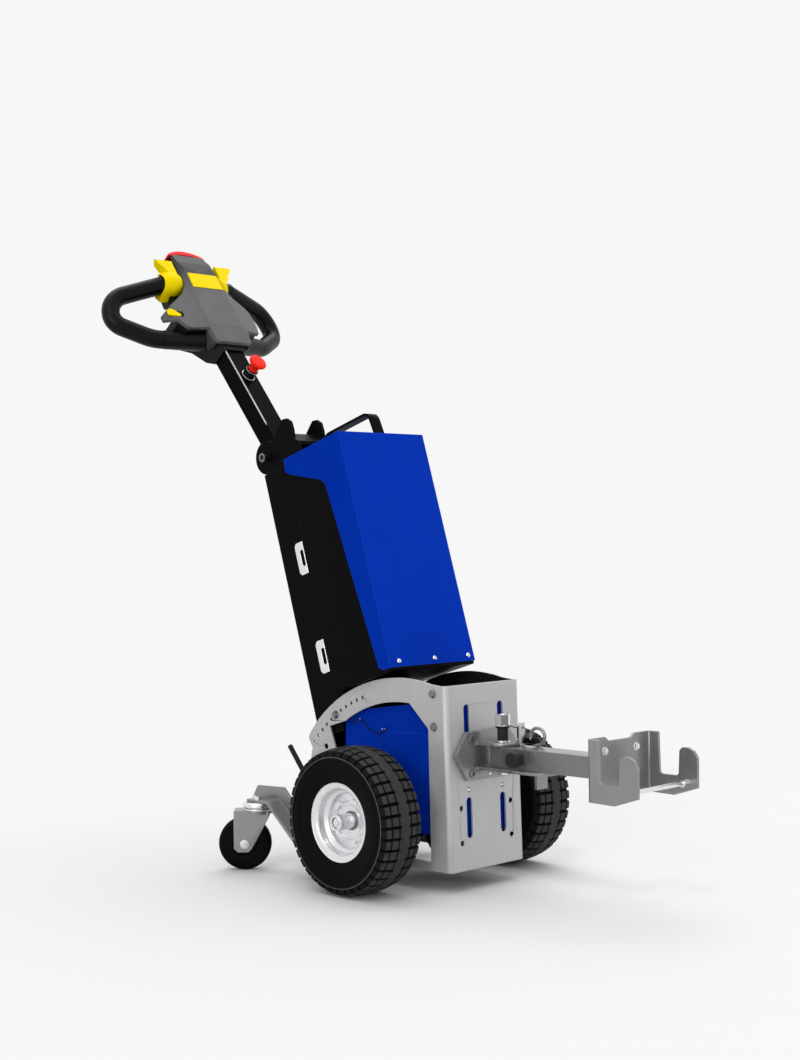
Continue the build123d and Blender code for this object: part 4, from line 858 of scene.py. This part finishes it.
def rim_shape():
    """The dressed wheel rim: in from its outer lip to the disc, then behind the disc and round the well."""
    outer = [(69.5, 39.0), (69.5, 37.6), (68.0, 37.0), (62.5, 36.2), (58.6, 34.4), (57.2, 32.0), (56.8, 28.0),
             (56.2, 22.0), (54.6, 19.8), (52.0, 18.6), (49.6, 17.6), (48.2, 15.6), (47.6, 7.3)]
    disc = [(46.0, 7.0), (43.0, 7.0), (35.0, 7.0), (33.2, 8.6), (30.6, 9.0), (28.2, 8.6), (26.6, 7.0),
            (15.0, 7.0)]
    back = [(15.0, 4.2), (26.0, 4.2), (30.0, 6.0), (34.0, 4.2), (45.0, 4.2)]
    well = [(45.2, -12.0), (46.0, -16.0), (54.0, -20.0), (55.0, -33.0), (59.0, -36.5), (67.6, -38.6),
            (69.5, -39.0), (69.5, -36.8), (61.6, -34.6), (57.6, -31.0), (57.0, -21.0), (49.0, -16.6),
            (48.6, 0.0), (49.0, 14.6), (52.0, 16.2), (56.2, 18.0), (58.0, 20.6), (58.4, 31.4), (61.4, 34.8),
            (66.8, 36.4), (69.5, 36.6)]
    section = rounded(outer + disc, 1.2, 2, closed=False) + back + rounded(well, 1.0, 2, closed=False)
    return turned(section, 96, closed=True)


class TUG_OT_rims(bpy.types.Operator):
    """Build the two spun rims with their openings, weld beads, bands, keys and shaft bolts"""
    bl_idname = "tug.rims"
    bl_label = "Rims and hub ends"

    def execute(self, context):
        for side, word in SIDES:
            axis = wheel_axis(side)
            made = piece(f"spun_rim_{word}", rim_shape(), axis, "rim_steel", f"wheel_{word}",
                         replaces=(f"rim_{word}",), angle=50)
            holes = []
            # Five curved openings in the disc, each from three round holes that meet
            for k in range(5):
                turn = radians(-75 + 72 * k)
                for shift in (-0.11, 0.0, 0.11):
                    spot = Matrix.Translation((36.8 * cos(turn + shift), 36.8 * sin(turn + shift), 0))
                    holes.append(placed(slab(polygon(4.3, 20), 0.0, 14.0), axis @ spot))
            for group in (0, 1, 2):
                cut(made, holes[group::3])
            bead = []
            for k in range(96):
                turn = 2 * pi * k / 96
                r = HUB_R + 1.4 + 0.25 * sin(24 * turn)
                bead.append((r * cos(turn), r * sin(turn), 8.2 + 0.2 * cos(24 * turn)))
            bead.append(bead[0])
            piece(f"hub_weld_{word}", rod(bead, 1.5, 8), axis, "axle_steel", f"wheel_{word}")
            band = turned([(HUB_R, -7.2), (HUB_R + 0.35, -6.9), (HUB_R + 0.35, -6.3), (HUB_R, -6.0)], 60,
                          closed=True)
            piece(f"hub_band_{word}", lifted(band, HUB_END), axis, "axle_steel", f"wheel_{word}")
            key = [(2.2, 9.3), (-2.2, 9.3), (-2.2, 13.2), (2.2, 13.2)]
            piece(f"shaft_key_{word}", slab(key, 38.0, HUB_END - 0.8), axis, "axle_steel", f"wheel_{word}",
                  edge=0.2)
            bolt = lifted(joined([washer(8.6, 1.0), lifted(hex_nut(10.0, 2.6), 1.0)]), HUB_END - 4.0)
            piece(f"shaft_bolt_{word}", bolt, axis, "zinc_bright", f"wheel_{word}")
        return {"FINISHED"}


def castor_axis(side):
    """Placements whose z axes run along a castor's roller axle, one each way from its wheel's middle."""
    turn = radians(CASTOR_TURN)
    trail = (-CASTOR_TRAIL * cos(turn), side * CASTOR_TRAIL * sin(turn))
    centre = (CASTOR_X + trail[0], side * CASTOR_Y + trail[1], CASTOR_R)
    across = (side * sin(turn), cos(turn), 0)
    return plane_at(centre, (0, 0, 1), across), plane_at(centre, (0, 0, 1), (-across[0], -across[1], 0))


class TUG_OT_castors(bpy.types.Operator):
    """Build the castors' tyres, races and axle nuts"""
    bl_idname = "tug.castors"
    bl_label = "Castors"

    def execute(self, context):
        half = CASTOR_W / 2 - 0.05
        top = CASTOR_R - 0.05
        section = [(5.2, half - 1.5), (14.0, half - 1.5), (17.5, half - 0.4), (22.0, half - 0.1),
                   (23.0, half - 1.0), (24.0, half - 0.1), (30.0, half), (39.0, half), (40.0, half - 0.9),
                   (41.2, half - 0.1), (44.5, half - 0.5), (47.5, half - 1.8), (49.3, half - 4.2),
                   (top, half - 7.5)]
        whole = section + [(r, -z) for r, z in reversed(section)]
        for side, word in SIDES:
            ahead, behind = castor_axis(side)
            tyre = turned(rounded(whole, 0.5, 2, closed=False), 90, closed=True)
            piece(f"castor_tyre_{word}", tyre, ahead, "castor_rubber", f"castor_roller_{word}",
                  replaces=(f"castor_wheel_{word}",), angle=40)
            nut = lifted(seated_nut(8.6, 12.6, 5.2, 3.6), 20.5)
            for place, end in ((ahead, "out"), (behind, "in")):
                piece(f"castor_nut_{word}_{end}", nut, place, "zinc_bright", f"castor_swivel_{word}")
            king = plane_at((CASTOR_X, side * CASTOR_Y, 0), (1, 0, 0), (0, 0, 1))
            cup = [(27.9, 119.0), (28.6, 118.4), (29.2, 120.0), (28.8, 123.0), (27.4, 126.4), (24.0, 126.9),
                   (24.0, 126.4), (27.0, 124.0)]
            piece(f"race_cup_{word}", turned(cup, 72, closed=True), king, "zinc_bright", "chassis",
                  angle=60)
            low_ring = [(27.2, 112.4), (28.4, 112.8), (28.9, 114.4), (28.4, 116.0), (27.2, 116.4)]
            piece(f"race_ring_{word}", turned(low_ring, 72, closed=True), king, "zinc_bright",
                  f"castor_swivel_{word}", angle=60)
        return {"FINISHED"}


class TUG_OT_fasteners(bpy.types.Operator):
    """Build the screws, bolts and nuts that show"""
    bl_idname = "tug.fasteners"
    bl_label = "Fasteners"

    def execute(self, context):
        for number, across in enumerate((-87.5, 4.8, 95.2)):
            seat = plane_at(lean_place(COVER_FRONT, across, 28.7), (0, 1, 0), FORWARD)
            piece(f"cover_screw_{number + 1}", button_head(4.8, 2.8), seat, "zinc_bright", "chassis")
        for number, across in enumerate((-44.3, 44.3)):
            seat = plane_at(face_place(across, 178, -2.2), (0, 1, 0), FACE_NORMAL)
            piece(f"face_screw_{number + 1}", button_head(3.3, 2.6), seat, "zinc_bright", "chassis")
        for side, word in SIDES:
            head = joined([washer(9.6, 1.6), lifted(socket_cap(7.2, 6.6), 1.5)])
            for number, up in enumerate((267.4, 207.4)):
                seat = plane_at(face_place(side * 45.5, up, 4.6), (0, 1, 0), (1, 0, 0))
                piece(f"hitch_bolt_{word}_{number + 1}", head, seat, "axle_steel", "chassis")
            seat = plane_at((FORK_X + 5.0, side * 42, 271), (0, 1, 0), (1, 0, 0))
            piece(f"fork_bolt_{word}", seated_nut(7.0, 10, 4.2, 2.9), seat, "zinc_bright", "tow_fork")
        for number, across, up in ((2, 1, 202.96), (3, 27, 204.88)):
            seat = plane_at(face_place(across, up, 4.0), (0, 1, 0), (1, 0, 0))
            piece(f"yoke_nut_{number}", seated_nut(6.4, 9, 4.0, 2.6), seat, "zinc_bright", "chassis")
        return {"FINISHED"}


def smooth_path(spots, steps=10):
    """Points of a smooth curve through the given spots."""
    made = []
    spots = [Vector(s) for s in spots]
    padded = [spots[0] * 2 - spots[1]] + spots + [spots[-1] * 2 - spots[-2]]
    for i in range(1, len(padded) - 2):
        a, b, c, d = padded[i - 1:i + 3]
        for k in range(steps):
            t = k / steps
            made.append(0.5 * ((2 * b) + (c - a) * t + (2 * a - 5 * b + 4 * c - d) * t ** 2
                               + (3 * b - a - 3 * c + d) * t ** 3))
    made.append(spots[-1])
    return made


# Placement of shapes that are given in working places
WORKING = plane_at((0, 0, 0), (1, 0, 0), (0, 0, 1))


class TUG_OT_hitch(bpy.types.Operator):
    """Build the hitch pin's fittings, the tab plate, the ring and the knob"""
    bl_idname = "tug.hitch"
    bl_label = "Hitch fittings"

    def execute(self, context):
        pin = plane_at((HITCH[0], 0, 0), (1, 0, 0), (0, 0, 1))
        sleeve = [(9.3, YOKE_TOP + 0.4), (9.6, YOKE_TOP + 1.4), (9.6, 286.0), (9.3, 288.0)]
        piece("pin_sleeve", turned(sleeve, 40, closed=True), pin, "dark_plastic", "chassis")
        for name, low, outer in (("pin_low_washer", YOKE_TOP + 0.1, 13.4), ("pin_top_washer", 290.6, 12.6)):
            band = [(9.7, low), (outer, low), (outer, low + 1.2), (outer - 0.5, low + 1.7), (9.7, low + 1.7)]
            piece(name, turned(band, 48, closed=True), pin, "zinc_bright", "chassis")
        # Painted shade: a black ring in the groove between the sleeve and the top washer
        piece("pin_groove_shade", lifted(ring(11.6, 1.5, 48), 288.6), pin, "black_satin", "chassis")
        piece("pin_top_screw", lifted(button_head(7.6, 1.2), 310.6), pin, "zinc_bright", "chassis")
        cord = smooth_path([(183, 0, 293.5), (188, 5, 290.5), (193, 10, 288.5), (198, 15, 288),
                            (201.4, 17, 289)], 8)
        piece("pin_lanyard", rod(cord, 0.9, 8), WORKING, "black_plastic", "chassis")
        tab = rounded([(11, 0), (22, 0), (22, 40.5), (11, 40.5)], 1.5, 4)
        stand = plane_at((207.0, 0, BAR_TOP), (0, 1, 0), (1, 0, 0))
        piece("bar_tab", slab(tab, -5.5, 0.0), stand, "zinc_sheet", "tow_fork", edge=0.5)
        wing = rounded([(190, 0), (201.3, 0), (201.3, 35), (194, 35), (190, 29)], 2.0, 4)
        side = plane_at((0, 22, BAR_TOP), (1, 0, 0), (0, -1, 0))
        piece("bar_tab_side", slab(wing, 0.0, 2.6), side, "zinc_bright", "tow_fork", edge=0.4)
        loop = plane_at((238.0, 20.0, BAR_TOP + 17.9), (1, 0.14, 0), (-0.14, 1, 0))
        piece("pull_ring", ring(14.8, 3.0, 64, 12), loop, "zinc_plate", "tow_fork")
        anchor = plane_at((207.2, 20, BAR_TOP + 9.6), (0, 1, 0), (1, 0, 0.02))
        stem = turned([(0, 0), (6.4, 0), (6.4, 3.0), (5.0, 4.0), (5.0, 20.0), (6.6, 21.0), (6.6, 27.5),
                       (5.4, 29.0), (0, 29.0)], 32)
        piece("ring_anchor", stem, anchor, "black_satin", "tow_fork")
        clip = smooth_path([(208, 12, 262), (212, 13, 272), (214.5, 14, 282), (211, 14, 290),
                            (207.5, 14, 287)], 8)
        piece("tab_spring", rod(clip, 1.1, 8), WORKING, "axle_steel", "tow_fork")
        out = plane_at((236.5, 0, 239.5), (1, 0, 0), (0, -1, 0))
        far = -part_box("bar_knob")[0].y / MM
        grip = [(0, 31.0), (8.0, 31.0), (11.6, 31.4), (12.6, 33.0), (12.8, 38.0), (13.9, 40.0), (14.0, 44.5),
                (13.9, far - 1.6), (12.6, far - 0.2), (9.0, far - 0.1), (8.6, far - 0.5), (0, far - 0.5)]
        points, faces = turned(grip, 72)
        # Ribs for the fingers along the widest part
        ribbed = []
        for p in points:
            wave = 1 - 0.035 * (0.5 + 0.5 * cos(18 * atan2(p.y, p.x))) if p.xy.length > 12 else 1
            ribbed.append(Vector((p.x * wave, p.y * wave, p.z)))
        neck = turned([(0, 25.1), (7.0, 25.1), (6.6, 31.0), (0, 31.0)], 36)
        piece("bar_knob_grip", joined([(ribbed, faces), neck]), out, "dark_plastic", "tow_fork",
              replaces=("bar_knob",))
        return {"FINISHED"}


class TUG_OT_wiring(bpy.types.Operator):
    """Build the wire, clips, plugs and panel on the motor cover's side"""
    bl_idname = "tug.wiring"
    bl_label = "Motor wire"

    def execute(self, context):
        level = MOTOR_SIDE_Y - 1.1
        spots = [(-128, 283), (-120, 286.7), (-103.5, 289.5), (-98, 287.2), (-83.4, 278.0), (-69.1, 270.6),
                 (-59.1, 268.6), (-47.0, 269.5), (-37.0, 274.2), (-33.0, 281.0)]
        wire = smooth_path([(x, level, z) for x, z in spots], 6)
        piece("motor_wire", rod(wire, 1.0, 8), WORKING, "black_plastic", "chassis")
        clips = ((-103.5, 290.5), (-44.2, 276.6), (-36.0, 277.0))
        plugs = ((-122.8, 279.4), (-109.2, 281.1), (-43.7, 257.1))
        for name, spots, head, slot in (("wire_clip", clips, button_head(1.7, 1.8), "zinc_bright"),
                                        ("cover_plug", plugs, button_head(2.2, 1.0), "black_plastic")):
            for number, (x, z) in enumerate(spots):
                seat = plane_at((x, MOTOR_SIDE_Y, z), (1, 0, 0), (0, -1, 0))
                piece(f"{name}_{number + 1}", head, seat, slot, "chassis")
        panel = rounded([(-33.3, 273.2), (60, 276), (80, 262), (80, 120), (39, 120)], 5, 4)
        seat = plane_at((0, MOTOR_SIDE_Y, 0), (1, 0, 0), (0, -1, 0))
        piece("motor_cover_panel", slab(panel, 0.0, 0.9), seat, "blue_powder", "chassis", edge=0.7)
        return {"FINISHED"}


class TUG_OT_tiller(bpy.types.Operator):
    """Build the stop button's rings and the tiller head's fittings"""
    bl_idname = "tug.tiller"
    bl_label = "Tiller fittings"

    def execute(self, context):
        stop = plane_at(tiller_place(203, 0, 0), TILLER_ALONG, TILLER_OFF)
        collar = turned([(0, 25.5), (14.4, 25.5), (15.4, 26.0), (15.4, 27.4), (13.4, 28.4), (13.0, 33.0),
                         (12.2, 34.4), (12.2, 39.6), (13.2, 40.4), (13.2, 43.4), (12.4, 44.4), (0, 44.4)], 48)
        piece("stop_barrel", collar, stop, "black_satin", "tiller", replaces=("stop_collar",))
        for name, radius, height, thick in (("stop_base_ring", 14.2, 27.4, 0.8),
                                            ("stop_neck_ring", 12.9, 42.6, 0.6)):
            piece(name, lifted(ring(radius, thick, 48), height), stop, "zinc_bright", "tiller")
        rim = rounded([(10.2, 44.6), (10.8, 53.0), (13.4, 59.6), (18.4, 63.6), (18.95, 65.0), (18.95, 67.6),
                       (17.4, 69.4), (14.0, 69.8), (0.0, 70.35)], 1.0, 4, closed=False)
        cap = turned([(0, 44.6)] + rim, 64)
        piece("stop_cap", cap, stop, "red_plastic", "tiller", replaces=("stop_button",), angle=60)
        # Thumb slider on the right wing, and a black sheet of painted shade for the slot that it runs in
        wing_out = Vector((0.635, -0.581, 0.509))
        thumb = [(384.1, 17.2, -116.4), (386.8, 21.9, -109.8), (381.9, 25.1, -105.3), (360.8, 31.6, -96.3),
                 (359.5, 28.6, -100.4), (373.9, 16.7, -117.2)]
        outline = [p - wing_out * 3.5 for p in rounded([tiller_place(*spot) for spot in thumb], 2.4, 3)]
        piece("thumb_slider", raised(outline, wing_out * 5), WORKING, "yellow_plastic", "tiller",
              replaces=("slider",), edge=0.8)
        # Painted shade: a thin black sheet where the slot's shade lies
        slot = [(372, 33.2, -93.9), (361.4, 34.4, -92.3), (358.2, 32.0, -95.6), (361.2, 30.0, -98.4)]
        outline = [p - wing_out * 5.0 for p in rounded([tiller_place(*spot) for spot in slot], 1.2, 2)]
        piece("slider_slot_shade", raised(outline, wing_out * 5.2), WORKING, "black_plastic", "tiller")
        # Webs between the housing and the two grips, given along the tiller and off its hinge line
        web = rounded([(466, 14), (437, 13), (415, 11), (431, -23), (462, -19), (474, -6)], 3, 3)
        for side, word in SIDES:
            flat = plane_at(tiller_place(0, 0, side * 68), TILLER_ALONG, (0, 1, 0))
            piece(f"housing_web_{word}", slab(web, -9.0, 9.0), flat, "black_plastic", "tiller", edge=1.5)
        return {"FINISHED"}


# Stage
BACKDROP = 0.93                   # brightness of the backdrop, of 1
DIMMED_OVER = (0.45, 1.2)         # metres from the object towards the picture's left
RISES_OVER = (1.1, 2.6)           # metres from the object all round


def seen_ray(tree):
    """1 for the rays that show the background: straight from the camera, mirrored, or through glass."""
    rays = add_node(tree, "LightPath")
    seen = rays.outputs["Is Camera Ray"]
    for kind in ("Is Glossy Ray", "Is Transmission Ray"):
        seen = add_node(tree, "Math", {0: seen, 1: rays.outputs[kind]}, operation="MAXIMUM")
    return seen


class TUG_OT_stage(bpy.types.Operator):
    """Build the floor, the light and the camera"""
    bl_idname = "tug.stage"
    bl_label = "Stage"

    def execute(self, context):
        scene = context.scene
        scene.view_settings.view_transform = "Standard"
        self.make_floor()
        self.make_world(scene)
        self.make_lamps()
        self.make_camera(scene)
        return {"FINISHED"}

    def make_floor(self):
        """A wide pale floor that keeps the shadow of the object."""
        mesh = bpy.data.meshes.new("floor")
        reach = 60.0
        mesh.from_pydata([(-reach, -reach, 0), (reach, -reach, 0), (reach, reach, 0), (-reach, reach, 0)], [],
                         [(0, 1, 2, 3)])
        floor = add_object("floor", mesh)
        # Seamless studio paper, matt: it takes a soft shadow and shows the background's tone elsewhere
        material, tree, shader = new_surface("seamless studio paper, matt", specular=0.0, roughness=1.0)
        spot = add_node(tree, "TexCoord").outputs["Object"]
        seen = seen_ray(tree)
        # On the picture's left it throws less light back at the object, and looks the same
        aside = add_node(tree, "VectorMath", {0: spot, 1: (-0.707, -0.707, 0)}, operation="DOT_PRODUCT")
        beyond = add_node(tree, "MapRange", {"Value": aside, "From Min": DIMMED_OVER[0],
                                             "From Max": DIMMED_OVER[1]})
        unseen = add_node(tree, "Math", {0: 1.0, 1: seen}, operation="SUBTRACT")
        dim = add_node(tree, "Math", {0: beyond, 1: unseen}, operation="MULTIPLY")
        add_node(tree, "Mix", {0: dim, 6: colours().floor, 7: hex_colour("#707070")},
                 to=shader.inputs["Base Color"], data_type="RGBA")
        # Far out it shows the backdrop's own tone
        away = add_node(tree, "VectorMath", {0: spot}, operation="LENGTH")
        rise = add_node(tree, "MapRange", {"Value": away, "From Min": RISES_OVER[0],
                                           "From Max": RISES_OVER[1]})
        share = add_node(tree, "Math", {0: rise, 1: seen}, operation="MULTIPLY")
        backdrop = add_node(tree, "Emission", {"Color": (1, 1, 1, 1), "Strength": BACKDROP})
        add_node(tree, "MixShader", {0: share, 1: shader, 2: backdrop},
                 to=tree.nodes["Material Output"].inputs["Surface"])
        mesh.materials.append(material)

    def make_world(self, scene):
        """A pale room, brighter overhead, on the picture's right and behind the camera."""
        world = bpy.data.worlds.new("studio")
        scene.world = world
        world.use_nodes = True
        tree = world.node_tree
        background = tree.nodes["Background"]
        heading = add_node(tree, "TexCoord").outputs["Generated"]
        level = 0.12
        for aim, low, high, amount in (((0.707, 0.707, 0), -0.9, 0.9, 0.42), ((0, 0, 1), 0.12, 0.85, 0.5),
                                       ((0.705, -0.709, 0), 0.88, 1.0, 0.4)):
            toward = add_node(tree, "VectorMath", {0: heading, 1: aim}, operation="DOT_PRODUCT")
            part = add_node(tree, "MapRange", {"Value": toward, "From Min": low, "From Max": high,
                                               "To Max": amount}, interpolation_type="SMOOTHSTEP")
            level = add_node(tree, "Math", {0: part, 1: level}, operation="ADD")
        behind = add_node(tree, "VectorMath", {0: heading, 1: (-0.709, 0.705, 0)}, operation="DOT_PRODUCT")
        backdrop = add_node(tree, "MapRange", {"Value": behind, "From Min": 0.6, "From Max": 0.95})
        room = add_node(tree, "Mix", {0: backdrop, 2: level, 3: BACKDROP}, data_type="FLOAT")
        add_node(tree, "Mix", {0: seen_ray(tree), 2: room, 3: BACKDROP}, to=background.inputs["Strength"],
                 data_type="FLOAT")
        background.inputs["Color"].default_value = (1, 1, 1, 1)

    def make_lamps(self):
        """A broad softbox overhead, a small crisp one and one at the near side, far off for an even floor."""
        for name, toward, spread, power in (("softbox", (-0.3, 0.3, 0.9), 60, 1.25),
                                            ("crisp_box", (0.27, -0.55, 0.78), 9, 0.3),
                                            ("side_box", (0.3, -0.92, 0.25), 30, 0.75)):
            lamp = bpy.data.lights.new(name, "SUN")
            lamp.angle = radians(spread)
            lamp.energy = power
            stand = add_object(name, lamp)
            stand.rotation_euler = (-Vector(toward)).to_track_quat("-Z", "Y").to_euler()

    def make_camera(self, scene):
        """The photograph's camera."""
        yaw, pitch, roll = radians(CAMERA_YAW), radians(CAMERA_PITCH), radians(CAMERA_ROLL)
        ahead = Vector((-cos(pitch) * cos(yaw), cos(pitch) * sin(yaw), -sin(pitch)))
        level = ahead.cross(Vector((0, 0, 1))).normalized()
        upright = level.cross(ahead)
        right = cos(roll) * level + sin(roll) * upright
        top = cos(roll) * upright - sin(roll) * level
        lens = bpy.data.cameras.new("photo_camera")
        lens.sensor_width = 36.0
        lens.sensor_fit = "AUTO"
        lens.lens = CAMERA_FOCAL * 36.0 / FRAME_PIXELS[1]
        lens.clip_end = 200
        camera = add_object("photo_camera", lens)
        at = (Vector(CAMERA_AT) + Vector((AXLE_X, 0, 0))) * MM
        camera.matrix_world = Matrix(((right.x, top.x, -ahead.x, at.x), (right.y, top.y, -ahead.y, at.y),
                                      (right.z, top.z, -ahead.z, at.z), (0, 0, 0, 1)))
        scene.camera = camera


OPERATORS = (TUG_OT_finishes, TUG_OT_tyres, TUG_OT_rims, TUG_OT_castors, TUG_OT_fasteners, TUG_OT_hitch,
             TUG_OT_wiring, TUG_OT_tiller, TUG_OT_stage)


class TUG_PT_panel(bpy.types.Panel):
    """Sizes, colours and steps of the tug"""
    bl_idname = "TUG_PT_panel"
    bl_label = "Walk-behind electric tug"
    bl_space_type = "VIEW_3D"
    bl_region_type = "UI"
    bl_category = "Tug"

    def draw(self, context):
        column = self.layout.column()
        for group in (context.scene.tug_sizes, context.scene.tug_colours):
            for name in group.__annotations__:
                column.prop(group, name)
        for operator in OPERATORS:
            column.operator(operator.bl_idname)


CLASSES = (TugColours, TugSizes, TUG_PT_panel) + OPERATORS


def register():
    """Add the classes and the two groups of settings."""
    for made in CLASSES:
        bpy.utils.register_class(made)
    bpy.types.Scene.tug_colours = PointerProperty(type=TugColours)
    bpy.types.Scene.tug_sizes = PointerProperty(type=TugSizes)


def unregister():
    """Take them out again."""
    del bpy.types.Scene.tug_sizes
    del bpy.types.Scene.tug_colours
    for made in reversed(CLASSES):
        bpy.utils.unregister_class(made)


def corners(box):
    """A box's two corners as rounded numbers."""
    return [[round(float(value), 6) for value in corner] for corner in box]


def main():
    """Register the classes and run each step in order."""
    register()
    bpy.ops.tug.finishes()
    bpy.ops.tug.tyres()
    bpy.ops.tug.rims()
    bpy.ops.tug.castors()
    bpy.ops.tug.fasteners()
    bpy.ops.tug.hitch()
    bpy.ops.tug.wiring()
    bpy.ops.tug.tiller()
    bpy.ops.tug.stage()


if __name__ == "__main__":
    main()
